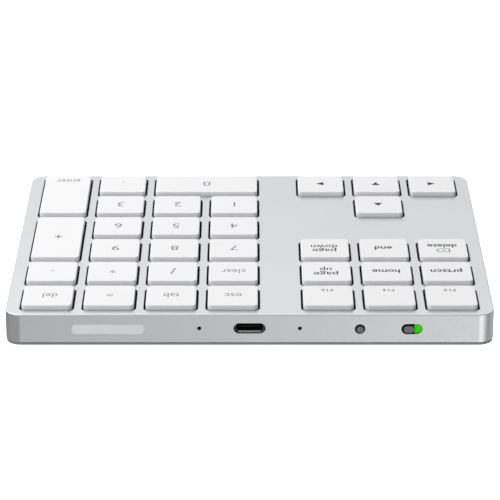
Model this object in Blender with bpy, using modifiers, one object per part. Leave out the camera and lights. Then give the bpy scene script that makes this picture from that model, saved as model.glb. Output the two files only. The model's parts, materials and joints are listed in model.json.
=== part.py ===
"""A slim wireless numeric keypad with a cursor and editing block.

Thirty-four low-profile keys stand in an aluminium housing. A USB-C socket, two indicator
lenses, a pairing button, a power slider and an antenna window are in its rear wall.

Metres, +Z up. The origin is the middle of the footprint, on the surface the keypad stands on.
+X is the user's right and +Y is the rear.
"""

import math

import bmesh
import bpy
from mathutils import Matrix, Vector

# Key grid
PITCH = 0.01905
BLOCK_STEP = 0.02942
CURSOR_COLUMNS = 3
NUMERIC_COLUMNS = 4
ROWS = 6
# name, column from the left, row from the front, columns wide, rows deep
KEYS = (
    ("key_left", 0, 0, 1, 1),
    ("key_down", 1, 0, 1, 1),
    ("key_right", 2, 0, 1, 1),
    ("key_up", 1, 1, 1, 1),
    ("key_delete", 0, 3, 1, 1),
    ("key_end", 1, 3, 1, 1),
    ("key_page_down", 2, 3, 1, 1),
    ("key_prtscn", 0, 4, 1, 1),
    ("key_home", 1, 4, 1, 1),
    ("key_page_up", 2, 4, 1, 1),
    ("key_f13", 0, 5, 1, 1),
    ("key_f14", 1, 5, 1, 1),
    ("key_f15", 2, 5, 1, 1),
    ("key_0", 3, 0, 2, 1),
    ("key_dot", 5, 0, 1, 1),
    ("key_enter", 6, 0, 1, 2),
    ("key_1", 3, 1, 1, 1),
    ("key_2", 4, 1, 1, 1),
    ("key_3", 5, 1, 1, 1),
    ("key_4", 3, 2, 1, 1),
    ("key_5", 4, 2, 1, 1),
    ("key_6", 5, 2, 1, 1),
    ("key_plus", 6, 2, 1, 2),
    ("key_7", 3, 3, 1, 1),
    ("key_8", 4, 3, 1, 1),
    ("key_9", 5, 3, 1, 1),
    ("key_clear", 3, 4, 1, 1),
    ("key_slash", 4, 4, 1, 1),
    ("key_asterisk", 5, 4, 1, 1),
    ("key_minus", 6, 4, 1, 1),
    ("key_esc", 3, 5, 1, 1),
    ("key_tab", 4, 5, 1, 1),
    ("key_equals", 5, 5, 1, 1),
    ("key_del", 6, 5, 1, 1),
)

# Housing
WIDTH = 0.150
DEPTH = 0.1183
DECK_TOP = 0.0106
DECK_THICKNESS = 0.0014
HOUSING_BOTTOM = 0.0013
SIDE_WALL = 0.0020
REAR_WALL = 0.0016
CORNER = 0.0048
CORNER_SEGMENTS = 8
TOP_EDGE = 0.00035
CAVITY_CORNER = 0.0028
WELL = 0.01674
WELL_CORNER = 0.0015

# Keycaps
KEY_TOP = 0.0154
KEY_RISE = 0.00146
KEY_FLARE = 0.00004
KEY_CORNER = 0.0012
KEY_EDGE = 0.00022
KEY_WALL = 0.00075
SKIRT_BOTTOM = 0.01025
TRAVEL = 0.0014

# Bottom cover and feet
COVER_BOTTOM = 0.0004
COVER_FLANGE_TOP = 0.00118
COVER_INSET = 0.00015
COVER_FLOOR_TOP = 0.0021
FOOT_LENGTH = 0.136
FOOT_WIDTH = 0.006
FOOT_HEIGHT = 0.00125
FOOT_Y = 0.0536
FOOT_GROOVE_TOP = 0.00132
FOOT_CLEARANCE = 0.0003

# Cover screws and the housing bosses that they thread into
SCREW_X = 0.0635
SCREW_HEAD_BOTTOM = 0.00140
SCREW_HEAD_TOP = 0.00195
SCREW_TIP = 0.0064
SCREW_HEAD_RADIUS = 0.0016
SCREW_RADIUS = 0.00075
SCREW_TIP_CHAMFER = 0.0004
SCREW_RECESS_RADIUS = 0.0007
SCREW_RECESS_DEPTH = 0.0003
COUNTERBORE_RADIUS = 0.0019
COUNTERBORE_TOP = 0.00206
SCREW_PAD_RADIUS = 0.0032
SCREW_PAD_TOP = 0.0029
BOSS_BOTTOM = 0.0031
BOSS_TOP = 0.0077
BOSS_SIZE = 0.0060
BOSS_HOLE_RADIUS = 0.00095
BOSS_HOLE_TOP = 0.0070

# Layers under the keys
SHEET_WIDTH = 0.144
SHEET_DEPTH = 0.1124
SHEET_CORNER = 0.0025
PLATE_BOTTOM = 0.00795
PLATE_TOP = 0.00825
MEMBRANE_BOTTOM = 0.00833
MEMBRANE_TOP = 0.00848
DOME_SHEET_BOTTOM = 0.00856
DOME_SHEET_TOP = 0.00875
DOME_TOP = 0.0111
DOME_WALL = 0.0004
DOME_BASE_RADIUS = 0.0030
DOME_TOP_RADIUS = 0.0015
DOME_SIDES = 8

# Pins on the underside of the deck that locate the layers
PIN_RADIUS = 0.0007
PIN_BOTTOM = 0.0076
PIN_SHOULDER_RADIUS = 0.0011
PIN_SHOULDER_BOTTOM = 0.0089
PIN_HOLE_RADIUS = 0.00095

# Stabiliser bars
BAR_RADIUS = 0.0003
BAR_ARM = 0.0080
BAR_HINGE_Z = 0.00925
BAR_OFFSET = 0.0046
BAR_HALF_SPAN = 0.0135
BAR_TIP = 0.0016
BAR_BEND = 0.0010
BEND_STEPS = 3
HOOK_INSET = 0.0009
HOOK_THICKNESS = 0.0005
HOOK_WIDTH = 0.0022
HOOK_TOP = 0.00978
HOOK_HOLE_RADIUS = 0.00038
HOOK_WINDOW_THICKNESS = 0.0015
HOOK_WINDOW_WIDTH = 0.0031
CLIP_SPACING = 0.0090
CLIP_LENGTH = 0.0016
CLIP_THICKNESS = 0.0005
CLIP_GAP = 0.00025
CLIP_BOTTOM = 0.0103

# Rear wall
PORT_Z = 0.0060
CONTROL_Z = 0.00576
CONTROL_DROP = 0.00015
WINDOW_X = 0.04335
WINDOW_WIDTH = 0.0223
WINDOW_HEIGHT = 0.0033
WINDOW_Z = 0.00562
WINDOW_CORNER = 0.0013
WINDOW_CLEARANCE = 0.00005
WINDOW_FLANGE = 0.0010
INDICATOR_X = 0.0154
INDICATOR_HOLE_RADIUS = 0.00058
INDICATOR_RADIUS = 0.00048
INDICATOR_RECESS = 0.0005
LENS_FOOT = 0.0010
USB_OPENING_WIDTH = 0.0098
USB_OPENING_HEIGHT = 0.0034
USB_SHELL_WIDTH = 0.00894
USB_SHELL_HEIGHT = 0.00316
USB_SHELL_WALL = 0.0003
USB_SHELL_LENGTH = 0.00735
USB_RECESS = 0.0010
USB_PLUG_LENGTH = 0.0017
USB_TONGUE_WIDTH = 0.0067
USB_TONGUE_THICKNESS = 0.0007
USB_TONGUE_RECESS = 0.0008
BUTTON_X = -0.0338
BUTTON_HOLE_RADIUS = 0.0016
BUTTON_RADIUS = 0.00122
BUTTON_EDGE = 0.0002
BUTTON_FLANGE_RADIUS = 0.0022
BUTTON_FLANGE_FRONT = 0.00175
BUTTON_FLANGE_BACK = 0.0024
BUTTON_STEM_RADIUS = 0.0006
BUTTON_STEM_END = 0.0040
BUTTON_TRAVEL = 0.0005
SLOT_X = -0.0497
SLOT_WIDTH = 0.00645
SLOT_HEIGHT = 0.0034
KNOB_X = -0.0488
KNOB_WIDTH = 0.0033
KNOB_HEIGHT = 0.0026
SLIDER_TRAVEL = 0.0021
CONTROL_RECESS = 0.00005
SLIDER_POCKET = 0.00065
SLIDER_CLEARANCE = 0.0001
MARKER_DEPTH = 0.0008
MARKER_THICKNESS = 0.0003
MARKER_HALF_HEIGHT = 0.0020
SLIDER_PLATE_THICKNESS = 0.0006
SLIDER_PLATE_MARGIN = 0.0006
SLIDER_PLATE_HALF_HEIGHT = 0.0023
NECK_LEFT = 0.0005
NECK_RIGHT = 0.0014
NECK_HALF_HEIGHT = 0.0009
SLIDER_TONGUE_END = 0.00455
SLIDER_TONGUE_HALF_WIDTH = 0.0008
SLIDER_TONGUE_HALF_HEIGHT = 0.0005
SLIDER_ENGAGEMENT = 0.0010
SWITCH_TOP = 0.0013
PAIRING_SWITCH_SIZE = (0.0050, 0.0030)
POWER_SWITCH_SIZE = (0.0096, 0.0036)

# Electronics
BOARD_BOTTOM = 0.0033
BOARD_TOP = 0.0043
BOARD_LEFT = -0.0575
BOARD_RIGHT = 0.0400
BOARD_FRONT = 0.0340
BOARD_REAR = 0.0560
STANDOFF_RADIUS = 0.0018
STANDOFF_SIDE = 0.004
STANDOFF_FRONT = 0.003
STANDOFF_REAR = 0.006
PART_BOTTOM = BOARD_TOP + 0.0001
# left, front, width, depth and height of the larger components on the board
COMPONENTS = (
    (0.0190, 0.0380, 0.0140, 0.0110, 0.0015),
    (-0.0280, 0.0385, 0.0070, 0.0070, 0.0009),
    (-0.0150, 0.0440, 0.0040, 0.0040, 0.0008),
    (-0.0345, 0.0400, 0.0032, 0.0025, 0.0007),
    (-0.0500, 0.0350, 0.0060, 0.0040, 0.0018),
)
BATTERY_WIDTH = 0.080
BATTERY_DEPTH = 0.050
BATTERY_Y = -0.008
BATTERY_BOTTOM = 0.0024
BATTERY_TOP = 0.0062
BATTERY_CORNER = 0.0015
BATTERY_SEAL_WIDTH = 0.060
BATTERY_SEAL_DEPTH = 0.003
BATTERY_SEAL_HEIGHT = 0.0012
TAIL_X = 0.0060
TAIL_WIDTH = 0.0180
TAIL_Y = 0.0380
TAIL_BOTTOM = 0.00575
TAIL_SOCKET_MARGIN = 0.001
TAIL_SOCKET_DEPTH = 0.0030

# Shared
PILL = 0.49
OVERSHOOT = 0.001
SINK = 0.0003
MERGE = 0.00001

REAR = DEPTH / 2
WALL_INSIDE = REAR - REAR_WALL
CAP_Z = CONTROL_Z - CONTROL_DROP
DECK_UNDERSIDE = DECK_TOP - DECK_THICKNESS
KEYCAP_TOP = DECK_TOP + KEY_RISE
KEYCAP_CEILING = KEYCAP_TOP - KEY_WALL
UP = Vector((0, 0, 1))
BACK = Vector((0, 1, 0))
RIGHT = Vector((1, 0, 0))

MATERIALS = {}


def clear_scene():
    for obj in list(bpy.data.objects):
        bpy.data.objects.remove(obj, do_unlink=True)


def add_collection(name):
    collection = bpy.data.collections.new(name)
    bpy.context.scene.collection.children.link(collection)
    return collection


def add_material(name, colour, roughness, metallic=0.0):
    material = bpy.data.materials.new(name)
    material.use_nodes = True
    shader = material.node_tree.nodes["Principled BSDF"]
    shader.inputs["Base Color"].default_value = (*colour, 1.0)
    shader.inputs["Roughness"].default_value = roughness
    shader.inputs["Metallic"].default_value = metallic
    MATERIALS[name] = material


def add_materials():
    add_material("anodised_aluminium", (0.78, 0.79, 0.80), 0.38, metallic=1.0)
    add_material("cover_grey", (0.17, 0.17, 0.18), 0.55)
    add_material("keycap_white", (0.88, 0.88, 0.89), 0.45)
    add_material("window_white", (0.66, 0.68, 0.68), 0.50)
    add_material("control_grey", (0.15, 0.15, 0.16), 0.50)
    add_material("marker_green", (0.05, 0.60, 0.02), 0.45)
    add_material("stainless_steel", (0.62, 0.62, 0.63), 0.30, metallic=1.0)
    add_material("contact_black", (0.02, 0.02, 0.02), 0.50)
    add_material("lens_smoke", (0.04, 0.04, 0.04), 0.15)
    add_material("foot_rubber", (0.05, 0.05, 0.05), 0.85)
    add_material("dome_silicone", (0.06, 0.06, 0.06), 0.60)
    add_material("circuit_film", (0.25, 0.27, 0.28), 0.35)
    add_material("circuit_board", (0.02, 0.16, 0.07), 0.45)
    add_material("switch_plastic", (0.06, 0.06, 0.07), 0.45)
    add_material("battery_foil", (0.55, 0.56, 0.58), 0.35, metallic=0.8)
    add_material("screw_steel", (0.30, 0.30, 0.31), 0.35, metallic=1.0)


def box(low, high, corner=0.0, segments=2, axis=2):
    """A box between two corners, with the edges along one axis rounded."""
    low, high = Vector(low), Vector(high)

    def add(bm):
        verts = bmesh.ops.create_cube(bm, size=1.0)["verts"]
        bmesh.ops.scale(bm, vec=high - low, verts=verts)
        bmesh.ops.translate(bm, vec=(low + high) / 2, verts=verts)
        if not corner:
            return
        edges = {edge for vert in verts for edge in vert.link_edges}
        along = [e for e in edges if abs(e.verts[0].co[axis] - e.verts[1].co[axis]) > MERGE]
        bmesh.ops.bevel(bm, geom=along, offset=corner, offset_type="OFFSET", segments=segments,
                        profile=0.5, affect="EDGES")

    return add


def slab(width, depth, bottom, top, corner=0.0, segments=2, centre=(0.0, 0.0)):
    """A flat plate of the given footprint between two heights."""
    x, y = centre
    return box((x - width / 2, y - depth / 2, bottom), (x + width / 2, y + depth / 2, top),
               corner, segments)


def pill(x, z, width, height, front, back, segments=4, corner=None):
    """A bar with round ends, or the given corners, seen from the rear and running along Y."""
    return box((x - width / 2, front, z - height / 2), (x + width / 2, back, z + height / 2),
               corner or PILL * height, segments, axis=1)


def cylinder(start, direction, length, radius, sides=8, end_radius=None):
    """A cylinder or a cone from start, along direction."""
    turn = UP.rotation_difference(direction).to_matrix().to_4x4()
    middle = Vector(start) + direction * length / 2

    def add(bm):
        bmesh.ops.create_cone(bm, cap_ends=True, segments=sides, radius1=radius,
                              radius2=radius if end_radius is None else end_radius,
                              depth=length, matrix=Matrix.Translation(middle) @ turn)

    return add


def mesh_of(name, shapes):
    bm = bmesh.new()
    for add in shapes:
        add(bm)
    bmesh.ops.recalc_face_normals(bm, faces=bm.faces)
    mesh = bpy.data.meshes.new(name)
    bm.to_mesh(mesh)
    bm.free()
    return mesh


def add_node(name, data, material, location=(0.0, 0.0, 0.0)):
    """An object of the keypad, from a mesh, a curve or a list of shapes."""
    if isinstance(data, list):
        data = mesh_of(name, data)
    if not data.materials:
        data.materials.append(MATERIALS[material])
    obj = bpy.data.objects.new(name, data)
    obj.location = location
    bpy.data.collections["numeric_keypad"].objects.link(obj)
    return obj


def boolean(target, shapes, operation, suffix):
    """Joins or cuts the shapes, which are in the target's own coordinates."""
    name = f"{target.name}_{suffix}"
    helper = bpy.data.objects.new(name, mesh_of(name, shapes))
    helper.location = target.location
    helper.hide_render = True
    helper.display_type = "WIRE"
    bpy.data.collections["cutters"].objects.link(helper)
    modifier = target.modifiers.new(suffix, "BOOLEAN")
    modifier.operation = operation
    modifier.solver = "EXACT"
    modifier.object = helper


def join(target, shapes, suffix="additions"):
    boolean(target, shapes, "UNION", suffix)


def cut(target, shapes, suffix="openings"):
    boolean(target, shapes, "DIFFERENCE", suffix)


def add_turned(name, profile, steps, material, location, rotation=(0.0, 0.0, 0.0)):
    """A form turned about Z from an open profile of radius and height, from the top down."""
    mesh = bpy.data.meshes.new(name)
    points = [(radius, 0.0, height) for radius, height in profile]
    mesh.from_pydata(points, [(i, i + 1) for i in range(len(points) - 1)], [])
    obj = add_node(name, mesh, material, location)
    obj.rotation_euler = rotation
    screw = obj.modifiers.new("turn", "SCREW")
    screw.steps = steps
    screw.render_steps = steps
    screw.use_merge_vertices = True
    screw.merge_threshold = MERGE
    screw.use_smooth_shade = False
    return obj


def smooth(obj, angle=math.radians(30)):
    obj.data.shade_smooth()
    obj.data.set_sharp_from_angle(angle=angle)


def column_x(column):
    span = (CURSOR_COLUMNS + NUMERIC_COLUMNS - 2) * PITCH + BLOCK_STEP
    if column < CURSOR_COLUMNS:
        return column * PITCH - span / 2
    return span / 2 - (CURSOR_COLUMNS + NUMERIC_COLUMNS - 1 - column) * PITCH


def row_y(row):
    return (row - (ROWS - 1) / 2) * PITCH


def key_centre(column, row, wide, deep):
    x = (column_x(column) + column_x(column + wide - 1)) / 2
    y = (row_y(row) + row_y(row + deep - 1)) / 2
    return x, y


def key_size(side, wide, deep):
    return side + (wide - 1) * PITCH, side + (deep - 1) * PITCH


def pin_places():
    """Between the blocks, in the empty row of the cursor block, and where four keys meet."""
    between_blocks = (column_x(2) + column_x(3)) / 2
    beside_enter = (column_x(5) + column_x(6)) / 2
    return [
        (between_blocks, row_y(0)),
        (between_blocks, row_y(5)),
        (column_x(0), row_y(2)),
        ((column_x(1) + column_x(2)) / 2, row_y(2)),
        (beside_enter, (row_y(0) + row_y(1)) / 2),
        (beside_enter, (row_y(4) + row_y(5)) / 2),
    ]


def screw_places():
    return [(x, y) for x in (-SCREW_X, SCREW_X) for y in (-FOOT_Y, FOOT_Y)]


def stabilised_keys():
    return [key for key in KEYS if key[3] + key[4] > 2]


def bar_frame(key):
    """The middle of the bar's hinge axis, the way the bar runs, and the way its arms point."""
    _, column, row, wide, deep = key
    x, y = key_centre(column, row, wide, deep)
    reach = math.sqrt(BAR_ARM ** 2 - TRAVEL ** 2)
    along, arm = (RIGHT, BACK) if wide > 1 else (BACK, RIGHT)
    return Vector((x, y, BAR_HINGE_Z)) + arm * (BAR_OFFSET - reach), along, arm


def hook_box(key, side, thickness, width, bottom, top):
    """A box around one end of a bar's hinge axis."""
    middle, along, arm = bar_frame(key)
    centre = middle + along * side * (BAR_HALF_SPAN - HOOK_INSET)
    half = along * thickness / 2 + arm * width / 2
    low, high = centre - half, centre + half
    low.z, high.z = bottom, top
    return box(low, high)


def hook_windows(bottom, top):
    """Openings in a layer that the plate's hooks pass through."""
    return [hook_box(key, side, HOOK_WINDOW_THICKNESS, HOOK_WINDOW_WIDTH, bottom, top)
            for key in stabilised_keys() for side in (-1, 1)]


def pin_holes(bottom, top):
    return [cylinder((x, y, bottom), UP, top - bottom, PIN_HOLE_RADIUS, sides=6)
            for x, y in pin_places()]


def keycap_mesh(name, wide, deep):
    """A rounded cap with slightly flared sides and a bevelled top edge, hollow from below."""
    width, depth = key_size(KEY_TOP, wide, deep)
    height = KEYCAP_TOP - SKIRT_BOTTOM
    bm = bmesh.new()
    box((-width / 2, -depth / 2, 0), (width / 2, depth / 2, height))(bm)
    for vert in bm.verts:
        if vert.co.z < height / 2:
            vert.co.x += math.copysign(KEY_FLARE, vert.co.x)
            vert.co.y += math.copysign(KEY_FLARE, vert.co.y)
    upright = [e for e in bm.edges if abs(e.verts[0].co.z - e.verts[1].co.z) > height / 2]
    bmesh.ops.bevel(bm, geom=upright, offset=KEY_CORNER, offset_type="OFFSET", segments=2,
                    profile=0.5, affect="EDGES")
    top_face = max(bm.faces, key=lambda face: face.calc_center_median().z)
    bmesh.ops.bevel(bm, geom=list(top_face.edges), offset=KEY_EDGE, offset_type="OFFSET",
                    segments=1, profile=0.5, affect="EDGES")
    mouth = min(bm.faces, key=lambda face: face.calc_center_median().z)
    bmesh.ops.inset_region(bm, faces=[mouth], thickness=KEY_WALL)
    pushed = bmesh.ops.extrude_face_region(bm, geom=[mouth])["geom"]
    bmesh.ops.delete(bm, geom=[mouth], context="FACES_ONLY")
    bmesh.ops.translate(bm, vec=(0, 0, KEYCAP_CEILING - SKIRT_BOTTOM),
                        verts=[item for item in pushed if isinstance(item, bmesh.types.BMVert)])
    bmesh.ops.recalc_face_normals(bm, faces=bm.faces)
    mesh = bpy.data.meshes.new(name)
    bm.to_mesh(mesh)
    bm.free()
    return mesh


def clip_legs(key):
    """Pairs of legs under a cap, either side of its stabiliser bar, from the cap's own origin."""
    _, along, arm = bar_frame(key)
    gap = BAR_RADIUS + CLIP_GAP
    legs = []
    for place in (-CLIP_SPACING, CLIP_SPACING):
        for side in (-1, 1):
            centre = along * place + arm * (BAR_OFFSET + side * (gap + CLIP_THICKNESS / 2))
            half = along * CLIP_LENGTH / 2 + arm * CLIP_THICKNESS / 2
            low, high = centre - half, centre + half
            low.z, high.z = CLIP_BOTTOM - SKIRT_BOTTOM, KEYCAP_CEILING + SINK - SKIRT_BOTTOM
            legs.append(box(low, high))
    return legs


def build_keycaps():
    meshes = {}
    for key in KEYS:
        name, column, row, wide, deep = key
        if (wide, deep) not in meshes:
            meshes[wide, deep] = keycap_mesh(f"keycap_{wide}x{deep}", wide, deep)
        x, y = key_centre(column, row, wide, deep)
        cap = add_node(name, meshes[wide, deep], "keycap_white", (x, y, SKIRT_BOTTOM))
        if wide + deep > 2:
            join(cap, clip_legs(key), "clips")


def key_wells():
    wells = []
    for _, column, row, wide, deep in KEYS:
        width, depth = key_size(WELL, wide, deep)
        wells.append(slab(width, depth, DECK_UNDERSIDE - OVERSHOOT, DECK_TOP + OVERSHOOT, WELL_CORNER,
                          centre=key_centre(column, row, wide, deep)))
    return wells


def port_openings():
    front, back = WALL_INSIDE - OVERSHOOT, REAR + OVERSHOOT
    through = back - front
    return [
        pill(WINDOW_X, WINDOW_Z, WINDOW_WIDTH, WINDOW_HEIGHT, front, back, corner=WINDOW_CORNER),
        pill(0.0, PORT_Z, USB_OPENING_WIDTH, USB_OPENING_HEIGHT, front, back, segments=6),
        pill(SLOT_X, CONTROL_Z, SLOT_WIDTH, SLOT_HEIGHT, front, back, segments=6),
        cylinder((BUTTON_X, front, CONTROL_Z), BACK, through, BUTTON_HOLE_RADIUS, sides=20),
        cylinder((-INDICATOR_X, front, PORT_Z), BACK, through, INDICATOR_HOLE_RADIUS, sides=10),
        cylinder((INDICATOR_X, front, PORT_Z), BACK, through, INDICATOR_HOLE_RADIUS, sides=10),
    ]


def slider_pocket():
    """A pocket in the inside of the rear wall, where the slider's plate runs."""
    half = SLOT_WIDTH / 2 + SLIDER_PLATE_MARGIN + SLIDER_TRAVEL + SINK
    height = SLIDER_PLATE_HALF_HEIGHT + SINK
    return box((SLOT_X - half, WALL_INSIDE - OVERSHOOT, CONTROL_Z - height),
               (SLOT_X + half, REAR - SLIDER_POCKET, CONTROL_Z + height))


def bevel_top_edge(obj, top, offset, segments):
    bm = bmesh.new()
    bm.from_mesh(obj.data)
    rim = [e for e in bm.edges if all(abs(v.co.z - top) < MERGE for v in e.verts)]
    bmesh.ops.bevel(bm, geom=rim, offset=offset, offset_type="OFFSET", segments=segments,
                    profile=0.5, affect="EDGES")
    bm.to_mesh(obj.data)
    bm.free()


def build_top_housing():
    housing = add_node("top_housing",
                       [slab(WIDTH, DEPTH, HOUSING_BOTTOM, DECK_TOP, CORNER, CORNER_SEGMENTS)],
                       "anodised_aluminium")
    bevel_top_edge(housing, DECK_TOP, TOP_EDGE, 2)
    inside = (WIDTH / 2 - SIDE_WALL, REAR - SIDE_WALL)
    cut(housing, [box((-inside[0], -inside[1], HOUSING_BOTTOM - OVERSHOOT),
                      (inside[0], WALL_INSIDE, DECK_UNDERSIDE), CAVITY_CORNER, 3)], "cavity")
    join(housing, housing_bosses() + housing_pins(PIN_SHOULDER_BOTTOM, DECK_UNDERSIDE, PIN_SHOULDER_RADIUS),
         "bosses")
    join(housing, housing_pins(PIN_BOTTOM, PIN_SHOULDER_BOTTOM, PIN_RADIUS), "pins")
    boss_holes = [cylinder((x, y, BOSS_BOTTOM - OVERSHOOT), UP, BOSS_HOLE_TOP - BOSS_BOTTOM + OVERSHOOT,
                           BOSS_HOLE_RADIUS) for x, y in screw_places()]
    cut(housing, [slider_pocket()], "slider_pocket")
    cut(housing, key_wells() + port_openings() + boss_holes, "openings")


def housing_bosses():
    """Blocks on the front and rear walls that the cover screws thread into."""
    half = BOSS_SIZE / 2
    blocks = []
    for x, y in screw_places():
        wall = math.copysign(REAR - REAR_WALL + 2 * SINK, y)
        near, far = sorted((math.copysign(abs(y) - half, y), wall))
        blocks.append(box((x - half, near, BOSS_BOTTOM), (x + half, far, BOSS_TOP)))
    return blocks


def housing_pins(bottom, top, radius):
    """One step of each locating pin, sunk a little into what is above it."""
    return [cylinder((x, y, bottom), UP, top - bottom + SINK, radius) for x, y in pin_places()]


def build_bottom_cover():
    flange = (WIDTH - 2 * COVER_INSET, DEPTH - 2 * COVER_INSET)
    floor = (WIDTH - 2 * SIDE_WALL - 2 * SINK, DEPTH - 2 * SIDE_WALL - 2 * SINK)
    cover = add_node("bottom_cover",
                     [slab(*flange, COVER_BOTTOM, COVER_FLANGE_TOP, CORNER - COVER_INSET, CORNER_SEGMENTS)],
                     "cover_grey")
    join(cover, [slab(*floor, COVER_FLANGE_TOP - SINK, COVER_FLOOR_TOP, CAVITY_CORNER - SINK, 3)], "floor")
    pads = [cylinder((x, y, COVER_FLOOR_TOP - SINK), UP, SCREW_PAD_TOP - COVER_FLOOR_TOP + SINK,
                     SCREW_PAD_RADIUS, sides=12) for x, y in screw_places()]
    posts = [cylinder((x, y, COVER_FLOOR_TOP - SINK), UP, BOARD_BOTTOM - COVER_FLOOR_TOP, STANDOFF_RADIUS)
             for x in (BOARD_LEFT + STANDOFF_SIDE, BOARD_RIGHT - STANDOFF_SIDE)
             for y in (BOARD_FRONT + STANDOFF_FRONT, BOARD_REAR - STANDOFF_REAR)]
    join(cover, pads + posts, "pads")
    groove = FOOT_CLEARANCE * 2
    cut(cover, [slab(FOOT_LENGTH + groove, FOOT_WIDTH + groove, COVER_BOTTOM - OVERSHOOT, FOOT_GROOVE_TOP,
                     (FOOT_WIDTH + groove) * PILL, 4, centre=(0, y)) for y in (-FOOT_Y, FOOT_Y)], "grooves")
    bores = [cylinder((x, y, COVER_BOTTOM), UP, COUNTERBORE_TOP - COVER_BOTTOM, COUNTERBORE_RADIUS, sides=12)
             for x, y in screw_places()]
    cut(cover, bores, "counterbores")
    holes = [cylinder((x, y, COVER_BOTTOM), UP, SCREW_PAD_TOP, BOSS_HOLE_RADIUS) for x, y in screw_places()]
    cut(cover, holes, "screw_holes")


def build_feet():
    for name, y in (("front_foot_strip", -FOOT_Y), ("rear_foot_strip", FOOT_Y)):
        add_node(name, [slab(FOOT_LENGTH, FOOT_WIDTH, 0.0, FOOT_HEIGHT, FOOT_WIDTH * PILL, 4, centre=(0, y))],
                 "foot_rubber")


def build_screws():
    profile = (
        (0.0, SCREW_TIP),
        (SCREW_RADIUS - SCREW_TIP_CHAMFER, SCREW_TIP),
        (SCREW_RADIUS, SCREW_TIP - SCREW_TIP_CHAMFER),
        (SCREW_RADIUS, SCREW_HEAD_TOP),
        (SCREW_HEAD_RADIUS, SCREW_HEAD_TOP),
        (SCREW_HEAD_RADIUS, SCREW_HEAD_BOTTOM),
        (SCREW_RECESS_RADIUS, SCREW_HEAD_BOTTOM),
        (0.0, SCREW_HEAD_BOTTOM + SCREW_RECESS_DEPTH),
    )
    for (x, y), place in zip(screw_places(), ("front_left", "rear_left", "front_right", "rear_right")):
        add_turned(f"cover_screw_{place}", profile, 10, "screw_steel", (x, y, 0.0))


def build_support_plate():
    plate = add_node("key_support_plate",
                     [slab(SHEET_WIDTH, SHEET_DEPTH, PLATE_BOTTOM, PLATE_TOP, SHEET_CORNER)],
                     "stainless_steel")
    join(plate, [hook_box(key, side, HOOK_THICKNESS, HOOK_WIDTH, PLATE_TOP - SINK / 2, HOOK_TOP)
                 for key in stabilised_keys() for side in (-1, 1)], "hooks")
    holes = []
    for key in stabilised_keys():
        middle, along, _ = bar_frame(key)
        for side in (-1, 1):
            start = middle + along * side * (BAR_HALF_SPAN - HOOK_INSET) - along * HOOK_THICKNESS
            holes.append(cylinder(start, along, HOOK_THICKNESS * 2, HOOK_HOLE_RADIUS))
    tail_slot = slab(TAIL_WIDTH + 2 * SINK, 4 * SINK, PLATE_BOTTOM - OVERSHOOT, PLATE_TOP + OVERSHOOT,
                     centre=(TAIL_X, TAIL_Y))
    cut(plate, holes + [tail_slot] + pin_holes(PLATE_BOTTOM - OVERSHOOT, PLATE_TOP + SINK))


def build_membrane():
    membrane = add_node("membrane_circuit",
                        [slab(SHEET_WIDTH, SHEET_DEPTH, MEMBRANE_BOTTOM, MEMBRANE_TOP, SHEET_CORNER)],
                        "circuit_film")
    thickness = MEMBRANE_TOP - MEMBRANE_BOTTOM
    join(membrane, [slab(TAIL_WIDTH, thickness, TAIL_BOTTOM, MEMBRANE_TOP - thickness / 2,
                         centre=(TAIL_X, TAIL_Y))], "tail")
    low, high = MEMBRANE_BOTTOM - SINK, MEMBRANE_TOP + SINK
    cut(membrane, hook_windows(low, high) + pin_holes(low, high))


def build_dome_sheet():
    sheet = add_node("dome_sheet",
                     [slab(SHEET_WIDTH, SHEET_DEPTH, DOME_SHEET_BOTTOM, DOME_SHEET_TOP, SHEET_CORNER)],
                     "dome_silicone")
    outside, inside = [], []
    for _, column, row, wide, deep in KEYS:
        x, y = key_centre(column, row, wide, deep)
        foot = DOME_SHEET_TOP - SINK / 2
        outside.append(cylinder((x, y, foot), UP, DOME_TOP - foot, DOME_BASE_RADIUS, DOME_SIDES,
                                DOME_TOP_RADIUS))
        mouth = DOME_SHEET_BOTTOM - SINK
        inside.append(cylinder((x, y, mouth), UP, DOME_TOP - DOME_WALL - mouth, DOME_BASE_RADIUS - DOME_WALL,
                               DOME_SIDES, DOME_TOP_RADIUS - DOME_WALL))
    join(sheet, outside, "domes")
    cut(sheet, inside, "dome_hollows")
    low, high = DOME_SHEET_BOTTOM - SINK, DOME_SHEET_TOP + SINK
    cut(sheet, hook_windows(low, high) + pin_holes(low, high))


def rounded_path(corners, radius):
    """Points along straight runs with rounded bends at the corners between them."""
    points = [corners[0]]
    for before, corner, after in zip(corners, corners[1:], corners[2:]):
        start = (before - corner).normalized() * radius
        end = (after - corner).normalized() * radius
        for step in range(BEND_STEPS + 1):
            angle = step / BEND_STEPS * math.pi / 2
            points.append(corner + start * (1 - math.sin(angle)) + end * (1 - math.cos(angle)))
    return points + [corners[-1]]


def build_stabiliser(key):
    """A wire bent to a wide U, whose tips turn in the plate's hooks, from its hinge axis."""
    middle, along, arm = bar_frame(key)
    reach = arm * math.sqrt(BAR_ARM ** 2 - TRAVEL ** 2) + UP * TRAVEL
    side = along * BAR_HALF_SPAN
    tip = along * (BAR_HALF_SPAN - BAR_TIP)
    points = rounded_path([-tip, -side, -side + reach, side + reach, side, tip], BAR_BEND)
    name = f"stabiliser_{key[0]}"
    curve = bpy.data.curves.new(name, "CURVE")
    curve.dimensions = "3D"
    curve.bevel_depth = BAR_RADIUS
    curve.bevel_resolution = 2
    curve.use_fill_caps = True
    spline = curve.splines.new("POLY")
    spline.points.add(len(points) - 1)
    for point, place in zip(spline.points, points):
        point.co = (*place, 1.0)
    add_node(name, curve, "stainless_steel", middle)


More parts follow.
